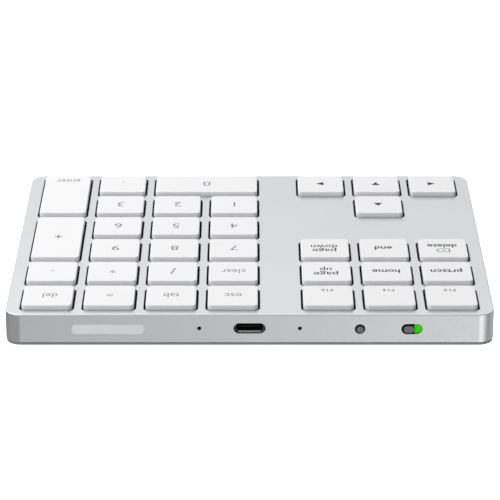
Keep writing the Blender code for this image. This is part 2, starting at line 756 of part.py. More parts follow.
def build_antenna_window():
    clear, flange = 2 * WINDOW_CLEARANCE, 2 * WINDOW_FLANGE
    window = add_node("antenna_window",
                      [pill(WINDOW_X, WINDOW_Z, WINDOW_WIDTH - clear, WINDOW_HEIGHT - clear,
                            WALL_INSIDE - SINK, REAR - WINDOW_CLEARANCE, corner=WINDOW_CORNER)],
                      "window_white")
    join(window, [pill(WINDOW_X, WINDOW_Z, WINDOW_WIDTH + flange, WINDOW_HEIGHT + flange,
                       WALL_INSIDE - WINDOW_FLANGE, WALL_INSIDE - SINK / 2)], "flange")


def build_usb_socket():
    mouth, back = REAR - USB_RECESS, REAR - USB_RECESS - USB_SHELL_LENGTH
    shell = add_node("usb_c_shell", [pill(0, PORT_Z, USB_SHELL_WIDTH, USB_SHELL_HEIGHT, back, mouth, 6)],
                     "stainless_steel")
    bore = (USB_SHELL_WIDTH - 2 * USB_SHELL_WALL, USB_SHELL_HEIGHT - 2 * USB_SHELL_WALL)
    cut(shell, [pill(0, PORT_Z, *bore, back - OVERSHOOT, mouth + OVERSHOOT, 6)], "bore")
    plug = (bore[0] - SINK / 2, bore[1] - SINK / 2)
    tongue = add_node("usb_c_tongue", [pill(0, PORT_Z, *plug, back + SINK, back + SINK + USB_PLUG_LENGTH)],
                      "contact_black")
    half_width, half_height = USB_TONGUE_WIDTH / 2, USB_TONGUE_THICKNESS / 2
    join(tongue, [box((-half_width, back + USB_PLUG_LENGTH, PORT_Z - half_height),
                      (half_width, mouth - USB_TONGUE_RECESS, PORT_Z + half_height))], "blade")


def build_indicators():
    """Light pipes that stand on the board and reach into the wall's two small holes."""
    front = WALL_INSIDE - SINK / 2
    reach = REAR - INDICATOR_RECESS - front + SINK
    for name, x in (("charge_led_lens", INDICATOR_X), ("status_led_lens", -INDICATOR_X)):
        lens = add_node(name, [box((x - LENS_FOOT, front - LENS_FOOT, PART_BOTTOM),
                                   (x + LENS_FOOT, front, PORT_Z + LENS_FOOT))], "lens_smoke")
        join(lens, [cylinder((x, front - SINK, PORT_Z), BACK, reach, INDICATOR_RADIUS, sides=10)], "pipe")


def build_pairing_button():
    """The button's axis runs along Y, so its profile is measured back from the wall's face."""
    face = -CONTROL_RECESS
    profile = (
        (0.0, face),
        (BUTTON_RADIUS - BUTTON_EDGE, face),
        (BUTTON_RADIUS, face - BUTTON_EDGE),
        (BUTTON_RADIUS, -BUTTON_FLANGE_FRONT),
        (BUTTON_FLANGE_RADIUS, -BUTTON_FLANGE_FRONT),
        (BUTTON_FLANGE_RADIUS, -BUTTON_FLANGE_BACK),
        (BUTTON_STEM_RADIUS, -BUTTON_FLANGE_BACK),
        (BUTTON_STEM_RADIUS, -BUTTON_STEM_END),
        (0.0, -BUTTON_STEM_END),
    )
    add_turned("pairing_button", profile, 20, "control_grey", (BUTTON_X, REAR, CAP_Z), (-math.pi / 2, 0, 0))
    width, depth = PAIRING_SWITCH_SIZE
    front = REAR - BUTTON_STEM_END + BUTTON_TRAVEL
    switch = add_node("pairing_switch",
                      [box((BUTTON_X - width / 2, front - depth, PART_BOTTOM),
                           (BUTTON_X + width / 2, front, CAP_Z + SWITCH_TOP))], "switch_plastic")
    hole = 2 * BUTTON_TRAVEL + SINK
    plunger = cylinder((BUTTON_X, front - hole, CAP_Z), BACK, hole + OVERSHOOT, BUTTON_STEM_RADIUS + SINK)
    cut(switch, [plunger], "plunger_hole")


def build_power_slider():
    """The knob, its neck, the plate that covers the slot from inside, and the tongue behind."""
    knob_back = REAR - SLIDER_POCKET - CONTROL_RECESS
    plate_front = REAR - MARKER_DEPTH - MARKER_THICKNESS - SLIDER_CLEARANCE
    plate_back = plate_front - SLIDER_PLATE_THICKNESS
    slider = add_node("power_slider", [pill(KNOB_X, CAP_Z, KNOB_WIDTH, KNOB_HEIGHT, knob_back,
                                            REAR - CONTROL_RECESS, 6)], "control_grey")
    join(slider, [box((KNOB_X - NECK_LEFT, plate_front - SINK, CAP_Z - NECK_HALF_HEIGHT),
                      (KNOB_X + NECK_RIGHT, knob_back + SINK, CAP_Z + NECK_HALF_HEIGHT))], "neck")
    reach = SLOT_WIDTH / 2 + SLIDER_PLATE_MARGIN
    plate_left, plate_right = SLOT_X - reach, SLOT_X + reach + SLIDER_TRAVEL
    join(slider, [box((plate_left, plate_back, CAP_Z - SLIDER_PLATE_HALF_HEIGHT),
                      (plate_right, plate_front, CAP_Z + SLIDER_PLATE_HALF_HEIGHT))], "cover_plate")
    tongue_end = REAR - SLIDER_TONGUE_END
    half_width, half_height = SLIDER_TONGUE_HALF_WIDTH, SLIDER_TONGUE_HALF_HEIGHT
    join(slider, [box((KNOB_X - half_width, tongue_end, CAP_Z - half_height),
                      (KNOB_X + half_width, plate_back + SINK, CAP_Z + half_height))], "tongue")
    front = REAR - MARKER_DEPTH
    marker_low = (plate_left + SLIDER_CLEARANCE, front - MARKER_THICKNESS, CONTROL_Z - MARKER_HALF_HEIGHT)
    marker_high = (KNOB_X - KNOB_WIDTH / 2, front, CONTROL_Z + MARKER_HALF_HEIGHT)
    add_node("power_on_marker", [box(marker_low, marker_high)], "marker_green")
    build_power_switch(tongue_end)


def build_power_switch(tongue_end):
    """The switch body, with a groove for the slider's tongue to run in."""
    width, depth = POWER_SWITCH_SIZE
    front = tongue_end + SLIDER_ENGAGEMENT
    switch = add_node("power_switch_body",
                      [box((SLOT_X - width / 2, front - depth, PART_BOTTOM),
                           (SLOT_X + width / 2, front, CAP_Z + SWITCH_TOP))], "switch_plastic")
    side = SLIDER_TONGUE_HALF_WIDTH + SINK
    height = SLIDER_TONGUE_HALF_HEIGHT + SINK
    cut(switch, [box((KNOB_X - SLIDER_TRAVEL - side, tongue_end - SINK, CAP_Z - height),
                     (KNOB_X + side, front + OVERSHOOT, CAP_Z + height))], "groove")


def build_main_board():
    board = add_node("main_board", [box((BOARD_LEFT, BOARD_FRONT, BOARD_BOTTOM),
                                        (BOARD_RIGHT, BOARD_REAR, BOARD_TOP))], "circuit_board")
    sunk = BOARD_TOP - SINK
    components = [box((left, front, sunk), (left + width, front + depth, BOARD_TOP + height))
                  for left, front, width, depth, height in COMPONENTS]
    tail_socket = slab(TAIL_WIDTH + 2 * TAIL_SOCKET_MARGIN, TAIL_SOCKET_DEPTH, sunk, TAIL_BOTTOM - SINK / 2,
                       centre=(TAIL_X, TAIL_Y))
    join(board, components + [tail_socket], "components")


def build_battery():
    battery = add_node("battery",
                       [slab(BATTERY_WIDTH, BATTERY_DEPTH, BATTERY_BOTTOM, BATTERY_TOP, BATTERY_CORNER,
                             centre=(0, BATTERY_Y))], "battery_foil")
    rear = BATTERY_Y + BATTERY_DEPTH / 2
    middle = (BATTERY_BOTTOM + BATTERY_TOP) / 2
    half_width, half_height = BATTERY_SEAL_WIDTH / 2, BATTERY_SEAL_HEIGHT / 2
    join(battery, [box((-half_width, rear - SINK, middle - half_height),
                       (half_width, rear + BATTERY_SEAL_DEPTH, middle + half_height))], "seal")


def main():
    clear_scene()
    add_collection("numeric_keypad")
    add_collection("cutters").hide_render = True
    add_materials()
    build_top_housing()
    build_bottom_cover()
    build_feet()
    build_screws()
    build_keycaps()
    build_support_plate()
    build_membrane()
    build_dome_sheet()
    for key in stabilised_keys():
        build_stabiliser(key)
    build_antenna_window()
    build_usb_socket()
    build_indicators()
    build_pairing_button()
    build_power_slider()
    build_main_board()
    build_battery()
    for obj in bpy.data.collections["numeric_keypad"].objects:
        if obj.type == "MESH":
            smooth(obj)


main()
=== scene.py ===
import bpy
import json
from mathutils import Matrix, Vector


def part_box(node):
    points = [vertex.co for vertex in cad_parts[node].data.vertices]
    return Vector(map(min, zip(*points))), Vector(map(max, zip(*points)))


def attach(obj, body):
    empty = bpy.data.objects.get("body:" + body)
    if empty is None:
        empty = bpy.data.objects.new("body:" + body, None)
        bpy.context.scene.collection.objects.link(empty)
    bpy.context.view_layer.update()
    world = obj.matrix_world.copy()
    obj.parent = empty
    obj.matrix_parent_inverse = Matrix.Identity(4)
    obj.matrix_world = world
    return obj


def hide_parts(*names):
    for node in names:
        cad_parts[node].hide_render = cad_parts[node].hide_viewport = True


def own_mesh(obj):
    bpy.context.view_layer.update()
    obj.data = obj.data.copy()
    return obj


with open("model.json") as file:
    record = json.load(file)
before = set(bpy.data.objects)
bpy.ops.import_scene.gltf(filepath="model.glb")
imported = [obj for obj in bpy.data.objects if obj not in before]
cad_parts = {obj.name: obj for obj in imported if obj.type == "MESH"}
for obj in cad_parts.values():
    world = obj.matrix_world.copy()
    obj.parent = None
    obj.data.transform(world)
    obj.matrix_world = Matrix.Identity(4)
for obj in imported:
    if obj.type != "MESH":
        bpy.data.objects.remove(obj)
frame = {"nodes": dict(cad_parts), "record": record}

"""The looks of a slim numeric keypad: fine shells and keycaps, printed legends, scissor frames
and domes, procedural materials, and a soft studio. Metres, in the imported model's frame."""

import json
import math

import bmesh
import bpy
from mathutils import Matrix, Vector

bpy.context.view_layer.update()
MM = 0.001

# Camera, from the middle of the deck
CAMERA_SIDE = -0.00012
CAMERA_BACK = 0.794927
CAMERA_RISE = 0.3281
CAMERA_TILT = math.radians(67.372)
CAMERA_LENS = 189.93
SENSOR_WIDTH = 36.0
CLIP_START, CLIP_END = 0.01, 10.0

# Keycaps and their wells
PITCH = 0.01905
CAP_HEIGHT = 0.00181
CAP_FLARE = 0.00004
CAP_CORNER = 0.0013
CAP_EDGE = 0.00022
CAP_WALL = 0.00075
CAP_LIP = 0.00008
WELL_GAP = 0.00063
WELL_CORNER = 0.0017
WELL_CHAMFER = 0.00010
INK_RISE = 0.00001
INK_DEPTH = 0.00003

# Under a keycap: the plunger, the scissor's clips and the stabiliser's hooks
PLUNGER_RADIUS, PLUNGER_DROP = 0.0016, 0.00016
PLUNGER_CHAMFER, PLUNGER_CHAMFER_DROP = 0.0002, 0.00006
CLIP_IN_X, CLIP_IN_Y, CLIP_DROP = 0.00125, 0.0030, 0.00055
CLIP_HALF_X, CLIP_HALF_Y = 0.00018, 0.0008
HOOK_SPOT, HOOK_OFFSET, HOOK_GAP = 0.009, 0.0008, 0.00005
HOOK_HALF_LENGTH, HOOK_HALF_THICKNESS = 0.0008, 0.00025
BAR_RADIUS = 0.0003

# Scissor frames, with the narrow kind under keys of two units
SCISSOR_HALF_WIDTH = 0.0063
SCISSOR_HALF_DEPTH, NARROW_HALF_DEPTH = 0.0055, 0.0038
SCISSOR_BAR, NARROW_BAR = 0.0009, 0.0005
SCISSOR_THICKNESS = 0.0005
SCISSOR_CORNER = 0.0012
SCISSOR_NEST = 0.0001
SCISSOR_MIDDLE, SCISSOR_RISE = 0.00125, 0.0008
SCISSOR_PIN = 0.0002

# A dome's section, as (radius, height): its ceiling and button from its top, its foot from the sheet's
DOME_CEILING = ((0.0011, -0.0005), (0.0014, -0.0007))
DOME_FOOT = ((0.00255, 0.0003), (0.0026, -0.00008), (0.0035, -0.00008), (0.0035, 0.0001),
             (0.0031, 0.00016), (0.0029, 0.0004))
DOME_BUTTON = ((0.0019, -0.0006), (0.0017, -0.0004), (0.00165, -0.0001), (0.0015, 0.0))
DOME_HOLE = 0.0026
SHEET_TOP = 0.00875
SHEET_CORNER = 0.0025
SLOT_BY_BAR_X, SLOT_BY_BAR_Y = 0.00075, 0.00154
BAR_END = 0.0009

# Housing and cover
CORNER = 0.0048
CAVITY_CORNER = 0.0028
TOP_EDGE = 0.00030
BOTTOM_EDGE = 0.00008
DECK_THICKNESS = 0.0014
SIDE_WALL = 0.0020
REAR_WALL = 0.0016
PORT_EDGE = 0.00003
CONTROL_DROP = 0.00015
# The button sits this far below and to one side of its hole's middle, so that the black seal above it shows
# as painted shade
BUTTON_SHIFT = Vector((0.00008, 0.0, 0.00014))
PIN_RADIUS, PIN_COLLAR, PIN_HOLE = 0.0007, 0.0011, 0.00095
PIN_TIP_Z, PIN_COLLAR_Z = 0.0076, 0.0089
BOSS_HALF, BOSS_EDGE = 0.0030, 0.0004
BOSS_BOTTOM_Z, BOSS_TOP_Z = 0.0031, 0.0077
SCREW_HOLE, SCREW_HOLE_TOP_Z, COVER_HOLE_TOP_Z = 0.00095, 0.0070, 0.004
COVER_GAP = 0.00012
COVER_RIM, COVER_EDGE, FOOT_EDGE, SEAM_EDGE = 0.0019, 0.00012, 0.0004, 0.00005
COVER_TOP_Z = 0.0021
SCREW_PAD, SCREW_PAD_TOP_Z = 0.0032, 0.0029
SCREW_BORE, SCREW_BORE_TOP_Z, SCREW_BORE_CHAMFER = 0.0019, 0.00206, 0.0001
STANDOFF, STANDOFF_GAP = 0.0018, 0.0002
STANDOFF_IN_X, STANDOFF_IN_FRONT, STANDOFF_IN_REAR = 0.004, 0.003, 0.006
GROOVE_MARGIN, GROOVE_TOP_Z = 0.0003, 0.00132

# Openings in the rear wall
WINDOW_WIDTH, WINDOW_HEIGHT, WINDOW_RADIUS = 0.0223, 0.0033, 0.0013
WINDOW_CLEAR, WINDOW_EDGE, WINDOW_FLANGE, FLANGE_GAP = 0.00002, 0.00003, 0.001, 0.00015
PORT_WIDTH, PORT_HEIGHT, PORT_RADIUS = 0.0098, 0.0034, 0.00169
SLOT_X, SLOT_WIDTH, SLOT_HEIGHT = -0.0497, 0.00645, 0.0034
BUTTON_OPENING, BUTTON_OPENING_RADIUS = 0.0032, 0.001599
LED_OPENING, LED_OPENING_RADIUS = 0.00122, 0.000609
POCKET_MARGIN, POCKET_HALF_HEIGHT, POCKET_WALL = 0.0029, 0.0025, 0.00065

# Socket, lenses and controls
SOCKET_WALL, SOCKET_SIDE_WALL, SOCKET_LIP, SOCKET_CHAMFER = 0.0003, 0.00006, 0.00003, 0.00030
TONGUE_ROOT, BLADE_START = 0.0017, 0.001
BLADE_WIDTH, BLADE_THICKNESS, BLADE_CORNER, BLADE_EDGE = 0.0067, 0.0007, 0.00025, 0.00012
CONTACTS, CONTACT_PITCH, CONTACT_OFFSET = 12, 0.0005, 0.00036
CONTACT_HALF, CONTACT_HALF_THICKNESS = 0.00012, 0.00004
CONTACT_BACK, CONTACT_FRONT = 0.0018, 0.0014
LENS_RADIUS, LENS_DEPTH, LENS_FOOT = 0.00059, 0.0001, 0.0011
# A lens's rounded end: shares of its radius, and how far behind the tip each is
LENS_TIP = ((1.0, 0.00018), (0.85, 0.00008), (0.5, 0.00002), (0.15, 0.0))
BUTTON_RADIUS, BUTTON_EDGE, BUTTON_DISH = 0.00108, 0.00015, 0.00005
STEM_RADIUS = 0.0006
COLLAR_RADIUS, COLLAR_BACK, COLLAR_FRONT, COLLAR_CHAMFER = 0.0022, 0.0024, 0.00175, 0.0001
# The black seal round the button: its black is painted shade for the dark gap in the button's hole
SHADE_SEAL_RADIUS, SHADE_SEAL_BACK, SHADE_SEAL_FRONT, SHADE_SEAL_CLEAR = 0.00159, 0.0008, 0.00015, 0.00003
KNOB_X, KNOB_SHIFT = -0.0488, 0.00010
KNOB_WIDTH, KNOB_HEIGHT, KNOB_RADIUS, KNOB_EDGE = 0.0032, 0.0023, 0.0011, 0.00015
KNOB_THICKNESS, NECK_INSET = 0.00022, 0.00005
CARRIER_DEPTH, CARRIER_THICKNESS, MARKER_GAP = 0.0012, 0.0006, 0.00002
TONGUE_HALF_X, TONGUE_HALF_Z = 0.0008, 0.0007

# Screws
HEAD_RADIUS, HEAD_HEIGHT, HEAD_EDGE, HEAD_EDGE_RISE = 0.0016, 0.00055, 0.00015, 0.00012
SHANK_RADIUS = 0.00075
THREAD_TURNS, THREAD_START, THREAD_ENDS = 12, 0.0002, 0.0006
THREAD_DEPTH, THREAD_RISE = 0.00012, 0.00016
SCREW_TIP = 0.0003
RECESS_HALF, RECESS_HALF_WIDTH, RECESS_DEPTH = 0.0009, 0.00018, 0.00038
RECESS_TURN = math.radians(20)

# Shared by the shapes: steps round a corner, flats beside it, overlaps, small edges and shading angles
FINE = 10
COARSE = 5
HOLD = 0.00006
SHORT_HOLD = 0.00001
SINK = 0.0002
THROUGH = 0.0005
BLOCK_EDGE = 0.0001
ROUND_END = 0.499
SHARP = math.radians(35)
CAD_SHARP = math.radians(30)


def mid(low, high):
    return (low + high) / 2


def box_of(node):
    low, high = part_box(node)
    return low, high, mid(low, high), high - low


# ---------------------------------------------------------------- shapes

def ring(width, depth, radius, height, steps=COARSE, centre=(0.0, 0.0), hold=0.0):
    """Points round a rectangle with rounded corners, anticlockwise from above.
    With hold, an extra point on the flat at each end of a corner keeps its shading local."""
    points = []
    for corner, (side_x, side_y) in enumerate(((1, 1), (-1, 1), (-1, -1), (1, -1))):
        x = centre[0] + side_x * (width / 2 - radius)
        y = centre[1] + side_y * (depth / 2 - radius)
        for step in range(steps + 1):
            angle = math.pi / 2 * (corner + step / steps)
            across, along = math.cos(angle), math.sin(angle)
            point = (x + radius * across, y + radius * along, height)
            if hold and step == 0:
                points.append((point[0] + hold * along, point[1] - hold * across, height))
            points.append(point)
            if hold and step == steps:
                points.append((point[0] - hold * along, point[1] + hold * across, height))
    return points


def loft(rings, tube=False):
    """A closed mesh through rings of equal count, capped at both ends or closed on itself."""
    bm = bmesh.new()
    loops = [[bm.verts.new(point) for point in points] for points in rings]
    pairs = list(zip(loops, loops[1:]))
    if tube:
        pairs.append((loops[-1], loops[0]))
    for below, above in pairs:
        for i in range(len(below)):
            j = (i + 1) % len(below)
            bm.faces.new((below[i], below[j], above[j], above[i]))
    if not tube:
        bm.faces.new(list(reversed(loops[0])))
        bm.faces.new(loops[-1])
    return bm


def tower(width, depth, radius, stations, centre=(0.0, 0.0), steps=FINE, hold=HOLD, tube=False):
    """A form that rises through stations, each a height and an inset from the full outline."""
    rings = []
    for height, inset in stations:
        rings.append(ring(width - 2 * inset, depth - 2 * inset, radius - inset, height, steps, centre, hold))
    return loft(rings, tube)


def softened(low, high, low_edge, high_edge, steps=4):
    """Stations up a wall whose bottom and top edges are rounded."""
    stations = []
    if low_edge:
        stations.append((low, low_edge + HOLD))
        for step in range(steps + 1):
            angle = math.pi / 2 * step / steps
            stations.append((low + low_edge * (1 - math.cos(angle)), low_edge * (1 - math.sin(angle))))
    stations.append((low + (low_edge + HOLD if low_edge else 0.0), 0.0))
    stations.append((high - (high_edge + HOLD if high_edge else 0.0), 0.0))
    if high_edge:
        for step in range(steps + 1):
            angle = math.pi / 2 * step / steps
            stations.append((high - high_edge * (1 - math.sin(angle)), high_edge * (1 - math.cos(angle))))
        stations.append((high, high_edge + HOLD))
    return stations


def circle(radius, height, centre=(0.0, 0.0), sides=32):
    """Points round a circle, anticlockwise from above."""
    points = []
    for side in range(sides):
        angle = 2 * math.pi * side / sides
        points.append((centre[0] + radius * math.cos(angle), centre[1] + radius * math.sin(angle), height))
    return points


def turned(profile, centre=(0.0, 0.0), sides=32):
    """A form turned about an upright axis from (radius, height) points, from the bottom up."""
    return loft([circle(radius, height, centre, sides) for radius, height in profile])


def disc(radius, bottom, top, centre=(0.0, 0.0), sides=32):
    """An upright cylinder, for a hole or a pad."""
    return turned([(radius, bottom), (radius, top)], centre, sides)


def block(low, high, radius=0.0, steps=3):
    """A box between two corners, with its upright edges rounded."""
    low, high = Vector(low), Vector(high)
    size, centre = high - low, mid(low, high)
    rings = []
    for height in (low.z, high.z):
        if radius:
            rings.append(ring(size.x, size.y, radius, height, steps, centre))
        else:
            rings.append([(high.x, high.y, height), (low.x, high.y, height),
                          (low.x, low.y, height), (high.x, low.y, height)])
    return loft(rings)


def post(x, y, half_x, half_y, bottom, top, radius=BLOCK_EDGE):
    """An upright block about a spot."""
    return block((x - half_x, y - half_y, bottom), (x + half_x, y + half_y, top), radius)


def moved(bm, matrix):
    bmesh.ops.transform(bm, matrix=matrix, verts=bm.verts)
    return bm


def rearward(bm, x=0.0, z=0.0):
    """Lays an upright form down, so that its heights run along Y and its face looks to the rear."""
    turn = Matrix(((-1, 0, 0, x), (0, 0, 1, 0), (0, 1, 0, z), (0, 0, 0, 1)))
    return moved(bm, turn)


def as_mesh(name, parts):
    """One mesh from several bmeshes."""
    mesh = bpy.data.meshes.new(name)
    whole = bmesh.new()
    for part in parts:
        part.to_mesh(mesh)
        part.free()
        whole.from_mesh(mesh)
    whole.to_mesh(mesh)
    whole.free()
    return mesh


def as_object(name, data):
    mesh = as_mesh(name, data) if isinstance(data, list) else data
    obj = bpy.data.objects.new(name, mesh)
    bpy.context.scene.collection.objects.link(obj)
    return obj


def evaluated_mesh(obj):
    graph = bpy.context.evaluated_depsgraph_get()
    return bpy.data.meshes.new_from_object(obj.evaluated_get(graph))


def combine(obj, operation, parts):
    """Cuts the parts from obj, or joins them to it, as one finished mesh."""
    helper = as_object("helper", parts)
    modifier = obj.modifiers.new("combine", "BOOLEAN")
    modifier.operation = operation
    modifier.solver = "EXACT"
    modifier.object = helper
    mesh = evaluated_mesh(obj)
    obj.modifiers.clear()
    obj.data = mesh
    bpy.data.objects.remove(helper, do_unlink=True)


def cut(obj, parts):
    combine(obj, "DIFFERENCE", parts)


def join(obj, parts):
    combine(obj, "UNION", parts)


def mark_edges(mesh):
    """Marks the small faces that lean between level and upright, where an edge wears first."""
    attribute = mesh.attributes.new("edge", "FLOAT", "FACE")
    for polygon, value in zip(mesh.polygons, attribute.data):
        level = abs(polygon.normal.z)
        value.value = min(1.0, 1.5 * min(level, math.sqrt(max(0.0, 1.0 - level * level))))


def finish_piece(obj, slot, body="housing", replaced=(), material=None, sharp=SHARP):
    """Gives a piece its edge marks, its material (its slot's, unless one is given) and shading, ties it to
    its body, and hides the CAD nodes it replaces.
    """
    obj.data.name = obj.name
    mark_edges(obj.data)
    obj.data.materials.clear()
    obj.data.materials.append(material or MATERIALS[slot])
    obj.data.shade_smooth()
    obj.data.set_sharp_from_angle(angle=sharp)
    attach(obj, body)
    if replaced:
        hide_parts(*replaced)
    return obj


# ---------------------------------------------------------------- materials

def make_node(tree, kind, values):
    """A shader node whose sockets, by name or number, have the given values."""
    node = tree.nodes.new(kind)
    for socket, value in values.items():
        node.inputs[socket].default_value = value
    return node


class Surface:
    """A Principled material whose colour, roughness and bump vary over the object's own space."""

    def __init__(self, name, colour, roughness, metallic=0.0, specular=0.5):
        self.material = bpy.data.materials.new(name)
        self.material.use_nodes = True
        self.tree = self.material.node_tree
        self.shader = self.tree.nodes["Principled BSDF"]
        self.colour = colour
        self.roughness = roughness
        self.shader.inputs["Base Color"].default_value = (*colour, 1.0)
        self.shader.inputs["Metallic"].default_value = metallic
        self.shader.inputs["Specular IOR Level"].default_value = specular
        self.coordinates = self.tree.nodes.new("ShaderNodeTexCoord").outputs["Object"]
        self.normal = None

    def link(self, output, socket):
        self.tree.links.new(output, socket)

    def noise(self, size, detail=3.0, stretch=None):
        """Noise from 0 to 1 whose features are about size across."""
        node = make_node(self.tree, "ShaderNodeTexNoise", {"Scale": 1.0 / size, "Detail": detail})
        source = self.coordinates
        if stretch:
            mapping = make_node(self.tree, "ShaderNodeMapping", {"Scale": stretch})
            self.link(source, mapping.inputs["Vector"])
            source = mapping.outputs["Vector"]
        self.link(source, node.inputs["Vector"])
        return node.outputs["Fac"]

    def cells(self, size):
        node = make_node(self.tree, "ShaderNodeTexVoronoi", {"Scale": 1.0 / size})
        node.feature = "DISTANCE_TO_EDGE"
        self.link(self.coordinates, node.inputs["Vector"])
        return node.outputs["Distance"]

    def bands(self, spacing, direction):
        node = make_node(self.tree, "ShaderNodeTexWave", {"Scale": math.pi / (10 * spacing)})
        node.bands_direction = direction
        self.link(self.coordinates, node.inputs["Vector"])
        return node.outputs["Fac"]

    def spread(self, value, low, high, start=0.3, end=0.7):
        node = make_node(self.tree, "ShaderNodeMapRange",
                         {"From Min": start, "From Max": end, "To Min": low, "To Max": high})
        self.link(value, node.inputs["Value"])
        return node.outputs["Result"]

    def mix(self, factor, first, second):
        """A colour between two, each a tuple or an output."""
        node = self.tree.nodes.new("ShaderNodeMix")
        node.data_type = "RGBA"
        self.link(factor, node.inputs["Factor"])
        for socket, value in (("A", first), ("B", second)):
            target = [s for s in node.inputs if s.name == socket and s.type == "RGBA"][0]
            if isinstance(value, tuple):
                target.default_value = (*value, 1.0)
            else:
                self.link(value, target)
        return [s for s in node.outputs if s.type == "RGBA"][0]

    def paint(self, colour):
        self.link(colour, self.shader.inputs["Base Color"])
        return colour

    def mottle(self, size, amount, stretch=None):
        """Varies the base colour by a share of itself."""
        light = tuple(min(1.0, c * (1 + amount)) for c in self.colour)
        dark = tuple(c * (1 - amount) for c in self.colour)
        return self.paint(self.mix(self.spread(self.noise(size, stretch=stretch), 0.0, 1.0), dark, light))

    def wear(self, colour, edge_colour, amount=0.5):
        """Fades towards another colour, in broken patches, on the faces marked as edges."""
        marked = self.tree.nodes.new("ShaderNodeAttribute")
        marked.attribute_name = "edge"
        edge = self.spread(marked.outputs["Fac"], 0.0, amount, 0.2, 0.9)
        broken = self.tree.nodes.new("ShaderNodeMath")
        broken.operation = "MULTIPLY"
        self.link(edge, broken.inputs[0])
        self.link(self.spread(self.noise(0.0015), 0.4, 1.0), broken.inputs[1])
        self.paint(self.mix(broken.outputs["Value"], colour, edge_colour))

    def polish(self, size, amount, stretch=None):
        """Varies the roughness."""
        low, high = self.roughness - amount, self.roughness + amount
        self.link(self.spread(self.noise(size, stretch=stretch), low, high), self.shader.inputs["Roughness"])

    def bump(self, height, strength, depth):
        node = make_node(self.tree, "ShaderNodeBump", {"Strength": strength, "Distance": depth})
        self.link(height, node.inputs["Height"])
        if self.normal is not None:
            self.link(self.normal, node.inputs["Normal"])
        self.normal = node.outputs["Normal"]
        self.link(self.normal, self.shader.inputs["Normal"])


def plain(name, colour, roughness, mottle, polish, bump, metallic=0.0, specular=0.5, stretch=None,
          detail=3.0, edge=None, edge_amount=0.5):
    """Mottled, unevenly polished and grained, with an edge colour where it wears.
    Each texture's size comes first, then its amounts."""
    s = Surface(name, colour, roughness, metallic=metallic, specular=specular)
    paint = s.mottle(*mottle, stretch)
    if edge:
        s.wear(paint, edge, edge_amount)
    s.polish(*polish, stretch)
    grain, strength, depth = bump
    s.bump(s.noise(grain, detail, stretch), strength, depth)
    return s.material


def anodised_aluminium():
    """Bead-blasted and anodised: a fine even grain with a faint cloudiness."""
    return plain("anodised_aluminium", (0.60, 0.607, 0.618), 0.36, (0.030, 0.012), (0.0006, 0.04),
                 (0.00022, 0.10, 0.00002), metallic=1.0, detail=2.0, edge=(0.70, 0.705, 0.715),
                 edge_amount=0.6)


def keycap_plastic():
    """Fine satin moulded plastic, a touch lighter on its worn edges."""
    return plain("keycap_plastic", (0.80, 0.80, 0.81), 0.45, (0.012, 0.008), (0.0020, 0.05),
                 (0.00030, 0.10, 0.00002), specular=0.45, detail=2.0, edge=(0.84, 0.84, 0.845))


def legend_ink(name, colour):
    return plain(name, colour, 0.55, (0.0006, 0.08), (0.0004, 0.08), (0.0001, 0.1, 0.000005), specular=0.15)


def moulded(name, colour, roughness, grain=0.0004, depth=0.00003, strength=0.25, specular=0.5):
    """Moulded plastic with a spark-eroded texture and slight mottling."""
    return plain(name, colour, roughness, (0.006, 0.05), (grain * 3, 0.06), (grain, strength, depth),
                 specular=specular, edge=tuple(min(1.0, c * 1.25) for c in colour))


def rubber(name, colour, specular=0.3):
    return plain(name, colour, 0.82, (0.004, 0.15), (0.0012, 0.08), (0.0005, 0.35, 0.00005),
                 specular=specular)


def drawn_steel(name, colour, roughness, stretch):
    """Steel with fine lines along one axis."""
    return plain(name, colour, roughness, (0.002, 0.06), (0.00025, 0.09), (0.00025, 0.15, 0.00001),
                 metallic=1.0, stretch=stretch)


def smoked_lens():
    return plain("smoked_lens", (0.004, 0.004, 0.005), 0.20, (0.0008, 0.2), (0.0006, 0.05),
                 (0.0003, 0.05, 0.000005), specular=0.06)


def circuit_film():
    """Polyester film over printed silver traces."""
    s = Surface("circuit_film", (0.30, 0.32, 0.33), 0.30)
    traces = s.spread(s.bands(0.0013, "X"), 0.0, 1.0, 0.80, 0.86)
    s.paint(s.mix(traces, s.mottle(0.01, 0.08), (0.62, 0.63, 0.64)))
    s.polish(0.003, 0.08)
    s.bump(traces, 0.3, 0.00002)
    return s.material


def circuit_board():
    """Solder mask over copper areas."""
    s = Surface("circuit_board", (0.02, 0.17, 0.08), 0.38)
    copper = s.spread(s.cells(0.0026), 0.0, 1.0, 0.10, 0.14)
    s.paint(s.mix(copper, s.mottle(0.004, 0.15), (0.05, 0.30, 0.13)))
    s.polish(0.001, 0.08)
    s.bump(copper, 0.25, 0.00003)
    return s.material


def battery_foil():
    """An aluminium foil pouch with soft dents."""
    s = Surface("battery_foil", (0.62, 0.63, 0.65), 0.34, metallic=0.9)
    s.mottle(0.010, 0.06)
    s.polish(0.004, 0.10)
    s.bump(s.noise(0.006), 0.5, 0.0002)
    s.bump(s.noise(0.0003), 0.1, 0.00002)
    return s.material


def marker_paint():
    return plain("marker_green", (0.055, 0.86, 0.003), 0.42, (0.0012, 0.06), (0.0008, 0.06),
                 (0.0002, 0.15, 0.00001), specular=0.1)


def gold_plate():
    return plain("gold_plate", (0.75, 0.55, 0.22), 0.30, (0.0006, 0.06), (0.0004, 0.08),
                 (0.0001, 0.1, 0.000004), metallic=1.0)


